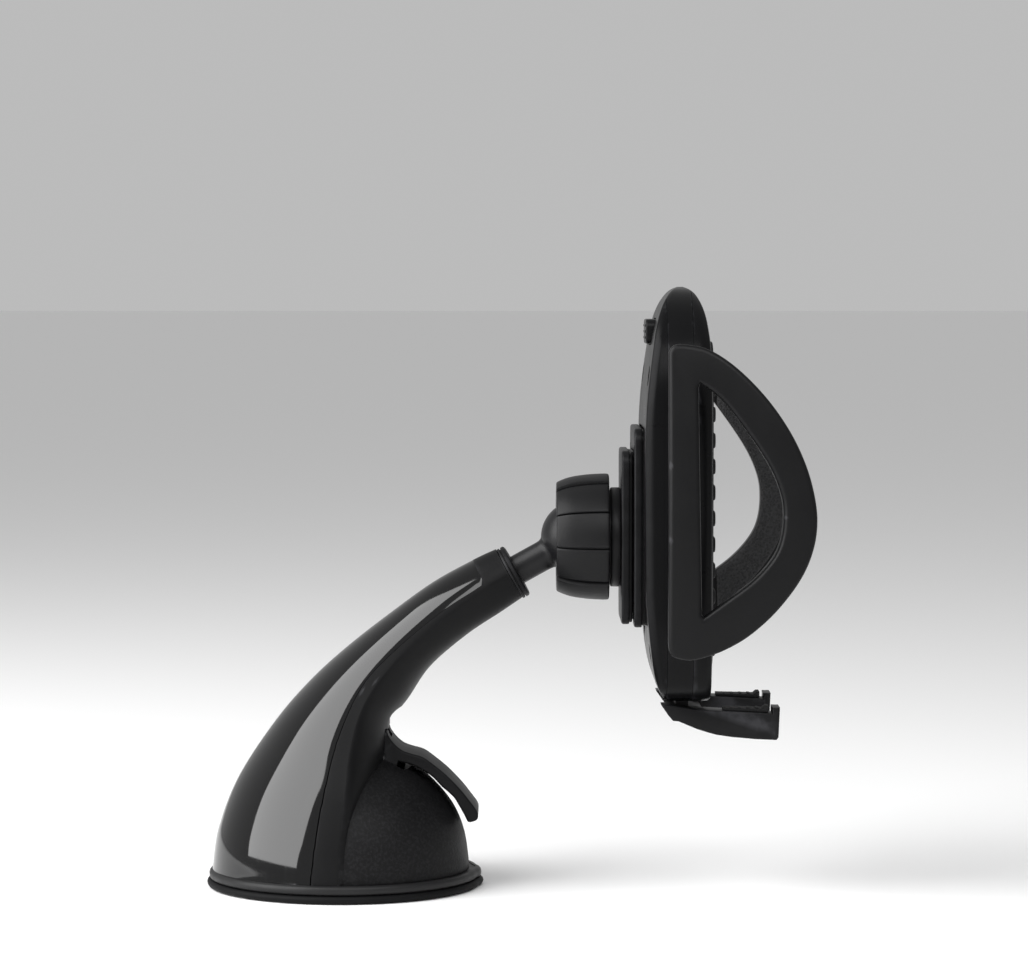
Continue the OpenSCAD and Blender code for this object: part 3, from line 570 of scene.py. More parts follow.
def arm_point(section, wall, way, turn):
    """Point of an arm section: way is "outer" or "inner" of its widest line, turn in radians."""
    x0, z0, x1, z1, wide, half = section
    reach = Vector((x1 - x0, z1 - z0))
    width = reach.length
    reach.normalize()
    middle = wide * width
    if way == "outer":
        share = (1 - math.cos(turn)) / (1 - math.cos(OUTER_TURN))
        u = wall + (middle - wall) * share
        w = (half - wall) * math.sin(turn) / math.sin(OUTER_TURN)
    else:
        share = (math.sin(turn) - math.sin(INNER_TURN)) / (1 - math.sin(INNER_TURN))
        u = middle + (width - wall - middle) * share
        w = (half - wall) * math.cos(turn) / math.cos(INNER_TURN)
    return x0 + reach.x * u, w, z0 + reach.y * u


def cover_turn(section, at):
    """Turn at which the cover's edge crosses a section, narrowing to a round tip at its end."""
    x0, z0, x1, z1, wide, half = section
    edge = spline(COVER_EDGE, 6)
    by_height = [(z, x) for x, z in edge]
    share = 0
    for k in range(200):
        f = k / 200 * wide
        if x0 + (x1 - x0) * f > table_value(by_height, z0 + (z1 - z0) * f):
            break
        share = f / wide
    turn = math.acos(max(-1, 1 - share * (1 - math.cos(OUTER_TURN))))
    tip = max(0, (at - COVER_END + 0.1) / 0.1)
    return turn * (1 - 0.12 * tip * tip)


def arm_rows(last, steps=10):
    """Sections along the arm with their place along it."""
    rows = spline(ARM_SECTIONS, steps)
    return [(i / steps, row) for i, row in enumerate(rows) if i / steps <= last]


def housing_ring(at, section, recessed):
    """One ring of the housing, sunk under the cover where it is recessed."""
    edge_turn = cover_turn(section, at) if recessed else 0.5
    sunk = COVER_WALL + 0.1 if recessed else 0
    half_ring = []
    for k in range(13):
        half_ring.append(arm_point(section, sunk, "outer", edge_turn * k / 12))
    start = edge_turn + (0.004 if recessed else 0.02)
    for k in range(17):
        half_ring.append(arm_point(section, 0, "outer", lerp(start, OUTER_TURN * 0.985, k / 16)))
    for k in range(13):
        turn = lerp(INNER_TURN * 1.06, math.pi / 2, k / 12)
        half_ring.append(arm_point(section, 0, "inner", turn))
    mirrored = [(x, -y, z) for x, y, z in reversed(half_ring[1:-1])]
    return half_ring + mirrored


def arm_housing_mesh():
    """Neck and side strips as one tube, with the recess that the cover lies in."""
    rings = [housing_ring(at, row, True) for at, row in arm_rows(COVER_END)]
    rings += [housing_ring(at, row, False) for at, row in arm_rows(99) if at >= COVER_END]
    low = [(x, y, BASE_LOW - 0.1) for x, y, z in rings[0]]
    return tube([low] + rings)


def lathe_z(profile, sides=SIDES, radius_at=None):
    """Closed turned shape about Z; profile is (radius, z) round a closed loop."""
    return lathe([(z, r) for r, z in profile], (0, 0, 1), (0, 0, 0), sides, radius_at)


def dome_mesh(wall, bottom):
    """Solid dome of the base, drawn in by a wall."""
    line = [(max(r - wall, 0.02), z - (0.6 * wall if r < 26 else 0)) for r, z in spline(DOME, 6)]
    line[-1] = (0.02, line[-1][1])
    return lathe_z([(0.02, bottom), (line[0][0], bottom)] + line, 128)


def cylinder_cutter(kind, r, low, high, u, v, sides=64):
    """Round cutter along an axis, its centre at (u, v) across it."""
    ring = [(u + r * math.cos(2 * math.pi * k / sides), v + r * math.sin(2 * math.pi * k / sides))
            for k in range(sides)]
    rings = [[place(kind, a, b, w) for a, b in ring] for w in (low, high)]
    return make_object("cutter", *tube(rings))


def prism_cutter(outline, kind, low, high):
    """Straight cutter from an outline."""
    rings = [[place(kind, a, b, w) for a, b in outline] for w in (low, high)]
    return make_object("cutter", *tube(rings))


def on_dome(x, y, z):
    """True where a point lies on the dome's outer face."""
    by_height = [(h, r) for r, h in DOME]
    on_face = abs(math.hypot(x, y) - table_value(by_height, z)) < 0.3
    return on_face and BASE_LOW - 0.1 < z < BASE_TOP - 0.7


def housing():
    """Dome and neck in one moulding, with the pocket that the lever swings in."""
    obj = make_object("housing", *arm_housing_mesh())
    join(obj, dome_mesh(0, BASE_LOW - 0.1))
    cut(obj, make_object("hollow", *dome_mesh(2.4, 1)))
    half = LEVER_HALF + 0.3
    root = [(PIVOT[0], 37.5), (PIVOT[0], 24.4), (12.5, 27.6), (16, 28.2), (40, 14), (40, 37),
            (11.5, 37)]
    for cutter in (
            cylinder_cutter("y", 6.7, -half, half, *PIVOT),
            cylinder_cutter("y", 4.3, -30, 30, 14.9, 38),
            prism_cutter(root, "y", -half, half),
            box_cutter((-2.9, -3.2, 12), (8.5, 3.2, 40))):
        cut(obj, cutter)
    piece(obj, "base", "matte", "matte_black", "base_housing", angle=40)
    obj.data.materials.append(LOOKS["dome"])
    for polygon in obj.data.polygons:
        x, y, z = (c / MM for c in polygon.center)
        if on_dome(x, y, z):
            polygon.material_index = 1
    return obj


def cover():
    """Glossy cover over the arm's outer face: one smooth shell with a rounded rim."""
    rings = []
    for at, row in arm_rows(COVER_END):
        if at >= COVER_END:
            row = ARM_SECTIONS[COVER_END]
        edge = cover_turn(row, at) - 0.006
        half_out = []
        for k in range(25):
            half_out.append(arm_point(row, 0, "outer", edge * (k / 24) ** 0.9))
        rim = arm_point(row, 0.12, "outer", edge + 0.003)
        half_in = [arm_point(row, COVER_WALL, "outer", edge * k / 12) for k in range(13)]
        outer = [(x, -y, z) for x, y, z in reversed(half_out[1:])] + half_out
        inner = list(reversed([(x, -y, z) for x, y, z in reversed(half_in[1:])] + half_in))
        ring = [(rim[0], -rim[1], rim[2])] + outer + [rim] + inner
        rings.append(ring)
    obj = make_object("gloss_cover", *tube(rings))
    return piece(obj, "base", "gloss", "gloss_black", "arm_cover", angle=50)


TAB_AT = 180
TAB_HALF = 8
TAB_REACH = 0.6
TAB_FROM = 30


def pull_tab(along, radius, angle):
    """Adds the small pull tab to a rim's radius, at its back."""
    away = abs(((math.degrees(angle) - TAB_AT + 180) % 360) - 180)
    if radius <= TAB_FROM:
        return radius
    return radius + TAB_REACH * max(0, 1 - (away / TAB_HALF) ** 2)


def base_rubber():
    """Suction pad and the ring over it, each drawn inward from the edge of its node."""
    edge = box_mm("suction_pad")[1].y
    low = box_mm("suction_pad")[0].z
    pad = [(-11.2, 0), (-0.8, 0), (-0.35, 0.15), (-0.1, 0.5), (0, 0.9), (-0.1, 1.3),
           (-0.4, 1.6), (-0.9, 1.72), (-11.2, 1.72)]
    obj = make_object("suction_pad_rim", *lathe_z(moved(pad, edge, low), 180, pull_tab))
    piece(obj, "base", "pad", "soft_rubber", "suction_pad", angle=50)
    edge = box_mm("base_ring")[1].y
    low = box_mm("base_ring")[0].z
    ring = [(-7.7, 0.02), (-0.7, 0.02), (-0.3, 0.15), (-0.05, 0.5), (0, 1.2), (-0.1, 1.7),
            (-0.4, 2.05), (-0.9, 2.2), (-1.4, 2.18), (-1.45, 2), (-1.9, 2), (-7.7, 2)]
    obj = make_object("base_ring_rim", *lathe_z(moved(ring, edge, low), 180, pull_tab))
    piece(obj, "base", "ring", "soft_rubber", "base_ring", angle=50)


def diaphragm():
    """Thin rubber cup that the stem pulls up; it stretches between the rim and the stem."""
    top = spline([(21, 1.6), (17, 2.6), (13.5, 4.2), (10, 5.6), (6, 6.3), (0.05, 6.3)], 5)
    under = spline([(0.05, 5), (6, 5), (10, 4.2), (13.5, 2.7), (17, 1.1), (21, 0.2)], 5)
    obj = make_object("suction_diaphragm", *lathe_z(top + under, 96))
    shade(obj, 50)
    paint(obj, "ring")
    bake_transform(obj)
    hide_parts("pad_diaphragm")


def stem_spring():
    """Coil spring between the guide and the stem's head."""
    turns, wire = 5, 0.5
    box_low, box_high = box_mm("suction_spring")
    low, high, middle_r = box_low.z, box_high.z, box_high.x - wire
    rings = []
    for k in range(turns * 24 + 1):
        turn = 2 * math.pi * k / 24
        z = lerp(low + wire, high - wire, k / (turns * 24))
        ring = []
        for j in range(10):
            around = 2 * math.pi * j / 10
            r = middle_r + wire * math.cos(around)
            ring.append((r * math.cos(turn), r * math.sin(turn), z + wire * math.sin(around)))
        rings.append(ring)
    obj = make_object("stem_spring", *tube(rings))
    shade(obj, 60)
    paint(obj, "steel")
    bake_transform(obj)
    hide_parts("suction_spring")


LEVER_TOP = [
    (0, 5.9), (1.8, 5.8), (2.4, 4.6), (3.7, 2.9), (5.4, 1.5), (7.5, 0.7), (10.2, -0.1), (12.9, -2),
    (15.6, -4.2), (18, -6.6), (19.7, -8.5), (21.4, -10.7), (22.6, -12.3), (23.1, -13.4),
    (23.1, -14.5),
]
LEVER_UNDER = [
    (22.7, -15), (20.9, -15.4), (19.9, -13.7), (18.6, -11.4), (17.3, -9.4), (14.6, -7),
    (12.6, -4.9), (10.6, -3.5), (7.9, -2.1), (4.9, -1.3),
]


def lever():
    """Lock lever: a curved blade with soft edges on a round hub."""
    line = moved(spline(LEVER_TOP, 4) + spline(LEVER_UNDER, 4), *PIVOT)
    hub = arc_corner(PIVOT[0], PIVOT[1], 4.7, -15, -110, 12)
    hub += arc_corner(PIVOT[0], PIVOT[1], 5.8, -140, -255, 12)
    outline = line + hub
    half = LEVER_HALF
    obj = make_object("lock_lever_blade", *rounded_prism(outline, "y", -half, half, 0.6, 0.6))
    crank = (middle_of("crank_pin").x, middle_of("crank_pin").z)
    for cutter in (
            cylinder_cutter("y", 1.55, -20, 20, *PIVOT),
            cylinder_cutter("y", 1.2, -6, 6, *crank),
            box_cutter((0, -3.2, 20), (PIVOT[0] + 2.8, 3.2, 40))):
        cut(obj, cutter)
    piece(obj, "lever", "lever", "matte_black", "lock_lever", angle=40)


def lever_pin():
    """Hinge pin of the lever with chamfered ends."""
    profile = [(-9.7, 0.02), (-9.7, 1.2), (-9.4, 1.5), (9.4, 1.5), (9.7, 1.2), (9.7, 0.02)]
    middle = Vector((PIVOT[0], 0, PIVOT[1]))
    obj = make_object("hinge_pin", *lathe(profile, (0, 1, 0), middle, 40))
    piece(obj, "base", "screw", "steel", "lever_pin", angle=40)


# ---------------------------------------------------------------- ball joint

STUD_HIGH = box_mm("ball_stud")[1]
BALL_R = STUD_HIGH.y
BALL = Vector((STUD_HIGH.x - BALL_R, 0, STUD_HIGH.z - BALL_R))
STUD_TILT = math.radians(29)
STUD_AXIS = (-math.cos(STUD_TILT), 0, -math.sin(STUD_TILT))


def ball_and_rod():
    """Ball, neck fillet and rod in one turned piece."""
    r, rod = BALL_R, 3.5
    profile = [(-r, 0.02)]
    for k in range(1, 27):
        angle = math.radians(180 - 6 * k)
        profile.append((r * math.cos(angle), r * math.sin(angle)))
    profile += [(7.4, 4.15), (7.75, 3.8), (8.3, 3.58), (9, rod), (20, rod), (33, rod), (33, 0.02)]
    obj = make_object("ball_and_rod", *lathe(profile, STUD_AXIS, BALL, 96))
    piece(obj, "base", "satin", "matte_black", "ball_stud", angle=50)


def collar():
    """Cap ring at the arm's end with a fine groove round it."""
    near, far, r = 16.1, 18.0, 6.5
    profile = [(near, 3.55), (near, r - 0.6), (near + 0.12, r - 0.25), (near + 0.4, r),
               (near + 1, r), (near + 1.08, r - 0.35), (near + 1.3, r - 0.35), (near + 1.38, r),
               (far - 0.1, r), (far, r - 0.1), (far, 3.55)]
    obj = make_object("arm_end_collar", *lathe(profile, STUD_AXIS, BALL, 96))
    piece(obj, "base", "matte", "matte_black", "arm_collar", angle=50)


NUT = [(-4.9, 12.5), (-4.5, 13), (-1.9, 14), (1.6, 14.6), (5.1, 14.85), (7, 14.85), (7.4, 14.5)]
LOBES = 5
LOBE_HALF = 16
LOBE_AT = 80.4


def nut_radius(along, radius, angle):
    """Raised grip lobes, each with a fine groove along both edges."""
    if radius < 12.3:
        return radius
    pitch = 360 / LOBES
    away = abs((math.degrees(angle) - LOBE_AT + pitch / 2) % pitch - pitch / 2)
    if away < LOBE_HALF - 1:
        return radius
    if away < LOBE_HALF:
        return radius - 0.12 * (away - LOBE_HALF + 1)
    if away < LOBE_HALF + 2:
        return radius - 1.15
    if away < LOBE_HALF + 3:
        return radius - 0.68
    return radius - 0.55


def clamp_nut():
    """Clamp nut with five grip lobes."""
    outer = spline(NUT, 4)
    inner = [(7.4, 11.3), (7.2, 11.05), (0.6, 11.05), (0.6, 9.75), (-1.5, 9.6), (-3, 9.22),
             (-4.55, 8.6), (-4.9, 9.2), (-4.9, 11.8)]
    obj = make_object("clamp_nut_lobed", *lathe(outer + inner, (1, 0, 0), BALL, 360, nut_radius))
    piece(obj, "nut", "grip", "matte_black", "clamp_nut", angle=30)


def socket():
    """Ball socket: threaded barrel under the nut and the flange behind it."""
    profile = [(1, 9.7), (1, 10.5), (1.3, 10.7), (2.4, 10.7), (2.6, 10.95), (3, 10.95), (3.2, 10.7),
               (4, 10.7), (4.2, 10.95), (4.6, 10.95), (4.8, 10.7), (7.7, 10.7), (7.7, 11.3),
               (7.85, 11.55), (8.1, 11.65), (9.7, 11.65), (9.95, 11.55), (10.1, 11.3), (10.1, 0.05),
               (9.85, 0.05), (9.7, 1.5), (8.7, 4.6), (6.8, 7.1), (4, 8.9)]
    obj = make_object("socket_flange", *lathe(profile, (1, 0, 0), BALL, 128))
    piece(obj, "head", "grip", "matte_black", "socket_cup", angle=40)


def screw_places(node, head_r):
    """Four screw axes as (y, z), a head's radius inside the corners of the screws' node."""
    low, high = box_mm(node)
    reach = high.y - head_r
    return [(y, z) for y in (-reach, reach) for z in (low.z + head_r, high.z - head_r)]


PLATE_SCREWS = screw_places("plate_screws", 2)
RAIL_SCREWS = screw_places("rail_screws", 1.8)
COVER_SCREWS = screw_places("cradle_screws", 2.2)
PLATE_LOW, PLATE_HIGH = box_mm("mount_plate")
RAIL_LOW, RAIL_HIGH = box_mm("rail_block")


def mount_plate():
    """Quick-release plate: slab with a step round it, and the T tongue that the rail takes."""
    back, front = PLATE_LOW.x, PLATE_HIGH.x
    slab = round_rect(PLATE_HIGH.y, PLATE_LOW.z, PLATE_HIGH.z, 3)
    obj = make_object("release_plate", *rounded_prism(slab, "x", back, back + 1.8, 0.5, 0.25))
    step = rounded_prism(inset(slab, 0.45), "x", back + 1.6, back + 2.5, 0.05, 0.3)
    join(obj, step)
    for half, low, high in ((8, back + 2.3, front - 1.4), (11, front - 1.6, front)):
        outline = round_rect(half, PLATE_LOW.z + 2, PLATE_HIGH.z - 0.3, 1)
        join(obj, rounded_prism(outline, "x", low, high, 0.2, 0.2))
    for y, z in PLATE_SCREWS:
        cut(obj, cylinder_cutter("x", 2.15, front - 1.5, front + 1, y, z))
        cut(obj, cylinder_cutter("x", 0.92, back - 1, front + 1, y, z))
    piece(obj, "head", "plate", "matte_black", "mount_plate")


def rail_block():
    """Block on the cradle's back with the T slot for the plate."""
    back = RAIL_LOW.x
    slab = round_rect(RAIL_HIGH.y, RAIL_LOW.z, RAIL_HIGH.z, 3)
    obj = make_object("rail_block_stepped", *rounded_prism(slab, "x", back, back + 1.8, 0.5, 0.2))
    step = rounded_prism(inset(slab, 0.45), "x", back + 1.6, RAIL_HIGH.x - 0.1, 0.05, 0.2)
    join(obj, step)
    slot_low, slot_high = RAIL_LOW.z - 6.7, PLATE_HIGH.z
    cut(obj, box_cutter((back - 1.7, -8.3, slot_low), (back + 1.5, 8.3, slot_high)))
    cut(obj, box_cutter((back + 1.2, -11.3, slot_low), (back + 3.4, 11.3, slot_high)))
    for y, z in RAIL_SCREWS:
        cut(obj, cylinder_cutter("x", 1.9, back - 1.7, back + 1.4, y, z))
    piece(obj, "cradle", "plate", "matte_black", "rail_block")


# ---------------------------------------------------------------- cradle

BODY_LOW = box_mm("body_frame")[0].z
BODY_TOP = box_mm("body_frame")[1].z
BODY_BACK = box_mm("back_cover")[0].x
SPLIT_BACK = box_mm("back_cover")[1].x
SPLIT_FRONT = 81
BODY_WALL = 2
PINION = middle_of("pinion")
RACK_OFF = 9.6
RACK_FAR, RACK_NEAR = PINION.z + RACK_OFF, PINION.z - RACK_OFF
GUIDE_FAR, GUIDE_NEAR = 72, 112.5
# rows of the body from its bottom and its back: height, back, front and half width
BODY = [
    (0, 6.4, 14.4, 13.4), (0.4, 5.4, 15.1, 16.6), (1.4, 4.4, 15.4, 20.2), (3.4, 3.3, 15.5, 23.4),
    (6.4, 2.3, 15.5, 25.4), (10.4, 1.6, 15.5, 26.9), (17.4, 0.8, 15.5, 27.5),
    (25.4, 0.2, 15.5, 27.5), (41.4, 0, 15.5, 27.5), (59.4, 0, 15.5, 27.5), (68.4, 0.3, 15.5, 27.4),
    (75.4, 1, 15.4, 26.7), (81.4, 1.8, 15.2, 25), (85.4, 2.4, 14.8, 22.7), (89, 3.3, 14.2, 19.6),
    (91.8, 4.4, 13.3, 16.2), (94, 5.8, 12.1, 12.2), (95.2, 7.1, 10.8, 8.4), (95.8, 8.4, 9.5, 3.5),
]
# half of the plan, from the middle of the back round to the middle of the front,
# as shares of the depth and of the half width
PLAN_BACK = [(0, 0), (0, 0.25), (0, 0.5), (0.002, 0.75), (0.008, 0.92), (0.02, 0.952)]
PLAN_SIDE = [
    (0.115, 0.986), (0.25, 0.993), (0.38, 0.998), (0.5, 1), (0.6, 1), (0.76, 1), (0.87, 0.985),
    (0.95, 0.955), (1, 0.9), (1, 0.6), (1, 0.3), (1, 0),
]


def body_mesh(wall, low, high):
    """Pebble shape of the cradle's body, drawn in by a wall."""
    plan = spline(PLAN_BACK, 3) + spline(PLAN_SIDE, 3)
    rings = []
    for rise, back, front, half in spline(BODY, 5):
        z = BODY_LOW + rise
        if not low <= z <= high:
            continue
        back = BODY_BACK + back + wall * 0.8
        front = BODY_BACK + front - wall * 0.8
        half = max(half - wall, 1)
        side = [(lerp(back, front, a), half * b) for a, b in plan]
        other = [(x, -y) for x, y in reversed(side[1:-1])]
        rings.append([(x, y, z) for x, y in side + other])
    return tube(rings)


def body_slice(name, back, front):
    """Solid slice of the body between two planes across X."""
    obj = make_object(name, *body_mesh(0, BODY_LOW, BODY_TOP + 1))
    solid_op(obj, box_cutter((back, -40, 30), (front, 40, 160)), "INTERSECT")
    return obj


def body_hollow():
    """Space inside the body's wall."""
    return make_object("hollow", *body_mesh(BODY_WALL, BODY_LOW + 2, BODY_TOP - 2))


def edge_rounding(obj, width, angle=50, segments=2):
    """Bevels the sharp edges; the modifier stays on the piece."""
    modifier = obj.modifiers.new("edge", "BEVEL")
    modifier.width = width * MM
    modifier.segments = segments
    modifier.limit_method = "ANGLE"
    modifier.angle_limit = math.radians(angle)
    modifier.harden_normals = False
    modifier.use_clamp_overlap = True
    return obj


def back_cover():
    """Cradle's back shell with the openings for the rail and the button."""
    obj = body_slice("back_shell", 60, SPLIT_BACK)
    cut(obj, body_hollow())
    rail = round_rect(RAIL_HIGH.y + 0.15, RAIL_LOW.z - 0.2, RAIL_HIGH.z + 0.2, 3)
    cut(obj, prism_cutter(rail, "x", 60, SPLIT_BACK + 0.5))
    cut(obj, box_cutter((68.9, -11.3, 50), (71.1, 11.3, RAIL_LOW.z + 0.3)))
    key_low, key_high = box_mm("release_button")
    key = round_rect(key_high.y + 0.3, key_low.z - 0.3, key_high.z + 0.3, 2)
    cut(obj, prism_cutter(key, "x", 60, SPLIT_BACK + 0.5))
    for y, z in COVER_SCREWS:
        cut(obj, cylinder_cutter("x", 2.4, 60, 80, y, z))
    piece(obj, "cradle", "shell", "gloss_black", "back_cover", angle=40)
    edge_rounding(obj, 0.22)


def bar_slots(side, rack, guide):
    """Cutters for the slots that an arm's two bars pass through."""
    for z in (rack, guide):
        low, high = sorted((side * 20, side * 40))
        yield box_cutter((77, low, z - 3.5), (81.9, high, z + 3.5))


def body_frame():
    """Middle of the body, with the bars' slots in its sides."""
    obj = body_slice("body_band", SPLIT_BACK + 0.08, SPLIT_FRONT - 0.08)
    inner = body_hollow()
    solid_op(inner, box_cutter((77, -40, 40), (90, 40, 150)), "INTERSECT")
    cut(obj, inner)
    bosses = [cylinder_cutter("x", 3, 73, 80.7, y, z) for y, z in COVER_SCREWS]
    bosses += [cylinder_cutter("x", 2.6, 71.9, 77.2, y, z) for y, z in RAIL_SCREWS]
    pin = middle_of("pawl_pin")
    bosses += [box_cutter((73, side * 5.4 - 1, pin.z - 2.2), (77.2, side * 5.4 + 1, pin.z + 2.2))
               for side in (-1, 1)]
    for boss in bosses:
        solid_op(obj, boss, "UNION")
    cutters = [*bar_slots(1, RACK_FAR, GUIDE_FAR), *bar_slots(-1, RACK_NEAR, GUIDE_NEAR),
               box_cutter((77, -14.3, 40), (80.7, 14.3, 50)),
               box_cutter((76.3, -25, 100.2), (78, 25, 103.8)),
               box_cutter((74, -4.2, 98.5), (78, 4.2, 106)),
               box_cutter((74, -4.2, 121), (78, 4.2, 133.4)),
               cylinder_cutter("y", 0.8, -8, 8, pin.x, pin.z),
               cylinder_cutter("x", 1.5, 74, 78, 0, PINION.z)]
    cutters += [cylinder_cutter("x", 1.1, 72, 82, y, z) for y, z in COVER_SCREWS]
    cutters += [cylinder_cutter("x", 1, 70, 76.8, y, z) for y, z in RAIL_SCREWS]
    for cutter in cutters:
        cut(obj, cutter)
    piece(obj, "cradle", "cradle", "matte_black", "body_frame", angle=40)
    edge_rounding(obj, 0.2)


def front_panel():
    """Front shell of the body, recessed for the rubber pad."""
    obj = body_slice("front_shell", SPLIT_FRONT, 90)
    inner = body_hollow()
    solid_op(inner, box_cutter((70, -40, 40), (82.6, 40, 150)), "INTERSECT")
    cut(obj, inner)
    slots = [*bar_slots(1, RACK_FAR, GUIDE_FAR), *bar_slots(-1, RACK_NEAR, GUIDE_NEAR)]
    for cutter in slots:
        cut(obj, cutter)
    low, high = box_mm("front_pad")
    recess = round_rect(high.y + 0.2, low.z - 0.2, high.z + 0.2, 8, 12)
    cut(obj, prism_cutter(recess, "x", low.x, 90))
    piece(obj, "cradle", "cradle", "matte_black", "front_panel", angle=40)
    edge_rounding(obj, 0.22)


def front_pad():
    """Ribbed rubber pad behind the phone."""
    low, high = box_mm("front_pad")
    outline = round_rect(high.y, low.z, high.z, 7.8, 10)
    sheet = rounded_prism(outline, "x", low.x + 0.05, high.x - 0.6, 0.1, 0.4)
    obj = make_object("ribbed_pad", *sheet)
    for k in range(12):
        z = low.z + 4.8 + 6 * k
        rib = round_rect(high.y - 2.4, z - 1.8, z + 1.8, 1.7, 6)
        solid = rounded_prism(rib, "x", high.x - 1, high.x, 0.05, 0.45)
        join(obj, solid)
    piece(obj, "cradle", "rubber", "soft_rubber", "front_pad", angle=40)


def button():
    """Release button with three grip ribs."""
    low, high = box_mm("release_button")
    middle = (low.z + high.z) / 2
    outline = round_rect(high.y, low.z, high.z, 1.8)
    obj = make_object("release_key", *rounded_prism(outline, "x", low.x + 0.2, high.x, 0.45, 0.2))
    for k in (-1, 0, 1):
        z = middle + 1.4 * k
        rib = rounded_prism(round_rect(5, z - 0.3, z + 0.3, 0.28), "x", low.x, low.x + 0.6,
                            0.15, 0.02)
        join(obj, rib)
    for y in (-5.4, 5.4):
        cut(obj, cylinder_cutter("x", 1.5, high.x - 1.8, high.x + 0.6, y, middle))
    piece(obj, "button", "cradle", "matte_black", "release_button", angle=40)


# ---------------------------------------------------------------- side arms

ARM_OUTER = [
    (0, 3.1), (0.6, 1.2), (2.4, 0.3), (5.8, 0), (11.3, 1.7), (16.2, 4.2), (20, 7), (24.1, 10.9),
    (28.3, 16.2), (31.1, 21.2), (32.8, 26.7), (33.2, 32.3), (32.3, 38.3), (30.4, 44.5), (27.3, 51),
    (23, 57.4), (18.3, 62.7), (13.5, 66.9), (8.8, 69.7), (4.5, 70.7), (1.4, 70.7), (0, 69.3),
]
ARM_INNER = [
    (7.5, 9.3), (12.5, 13), (18.8, 17.8), (23, 22.5), (25, 26.7), (25.7, 32), (25.1, 37.3),
    (22.5, 43.6), (17.7, 51), (11.9, 58.4), (6.6, 62.4),
]
ARM_LOW, ARM_HIGH = box_mm("arm_far")
ARM_IN, ARM_OUT = box_mm("arm_pad_far")[1].y, ARM_HIGH.y
ARM_CORNER = (ARM_LOW.x, ARM_LOW.z)
LOOP_MIDDLE = (ARM_LOW.x + 14.4, ARM_LOW.z + 35.3)
BAR_BACK, BAR_FRONT = 77.4, 81.4


def star_outline(points, count):
    """Outline resampled at even angles about the loop's middle."""
    cx, cz = LOOP_MIDDLE
    ring = points + [points[0]]
    out = []
    for k in range(count):
        angle = 2 * math.pi * k / count
        dx, dz = math.cos(angle), math.sin(angle)
        best = None
        for (x0, z0), (x1, z1) in zip(ring, ring[1:]):
            ex, ez = x1 - x0, z1 - z0
            det = dx * ez - dz * ex
            if abs(det) < 1e-12:
                continue
            t = ((x0 - cx) * ez - (z0 - cz) * ex) / det
            s = ((x0 - cx) * dz - (z0 - cz) * dx) / det
            if t > 0 and -1e-9 <= s <= 1 + 1e-9:
                best = t if best is None else max(best, t)
        out.append((cx + dx * best, cz + dz * best))
    return out


def loop_mesh(side):
    """Arm loop with soft edges, its outer face curving back toward the spine."""
    outer = star_outline(moved(spline(ARM_OUTER, 6), *ARM_CORNER), 280)
    inner = star_outline(moved(spline(ARM_INNER, 6), *ARM_CORNER), 280)
    verts, faces = rounded_prism(outer, "y", ARM_IN, ARM_OUT, 0.5, 1.1, hole=inner, steps=5)
    shaped = []
    for x, y, z in verts:
        share = max(0, y - ARM_IN) / (ARM_OUT - ARM_IN)
        back = max(0, 1 - (x - ARM_LOW.x) / 8.4)
        rise = (z - LOOP_MIDDLE[1]) / 35
        y -= share * (0.4 * back * back + 1.8 * rise * rise)
        shaped.append((x, side * y, z))
    return shaped, faces


def rack_outline(turned):
    """Rack bar as (y, z), with its teeth toward the pinion."""
    pitch, root, tip, half, lean = math.pi, 8.0, 6.28, 0.725, math.tan(math.radians(20))
    line = []
    for k in range(-5, 5):
        mid = (k + 0.5) * pitch
        line += [(mid - half - lean, root), (mid - half + 0.72 * lean, tip),
                 (mid + half - 0.72 * lean, tip), (mid + half + lean, root)]
    line = [(y, z) for y, z in line if y > -14.9]
    line = [(-15, root)] + line + [(39, root), (39, root + 4.4), (-15, root + 4.4)]
    return [(turned * y, PINION.z + turned * z) for y, z in line]


def side_arm(name, node, body, side, guide):
    """Side arm: loop, toothed rack bar and guide bar."""
    obj = make_object(name, *loop_mesh(side))
    low, high = sorted((side * -12, side * 39))
    bar = round_rect(2, BAR_BACK, BAR_FRONT, 0.4, 3)
    bar = [(x, guide + z) for z, x in bar]
    join(obj, rounded_prism(bar, "y", low, high, 0.3, 0.3))
    rings = [[(x, y, z) for y, z in rack_outline(side)] for x in (BAR_BACK, BAR_FRONT)]
    join(obj, tube(rings))
    piece(obj, body, "arm", "matte_black", node, angle=38)


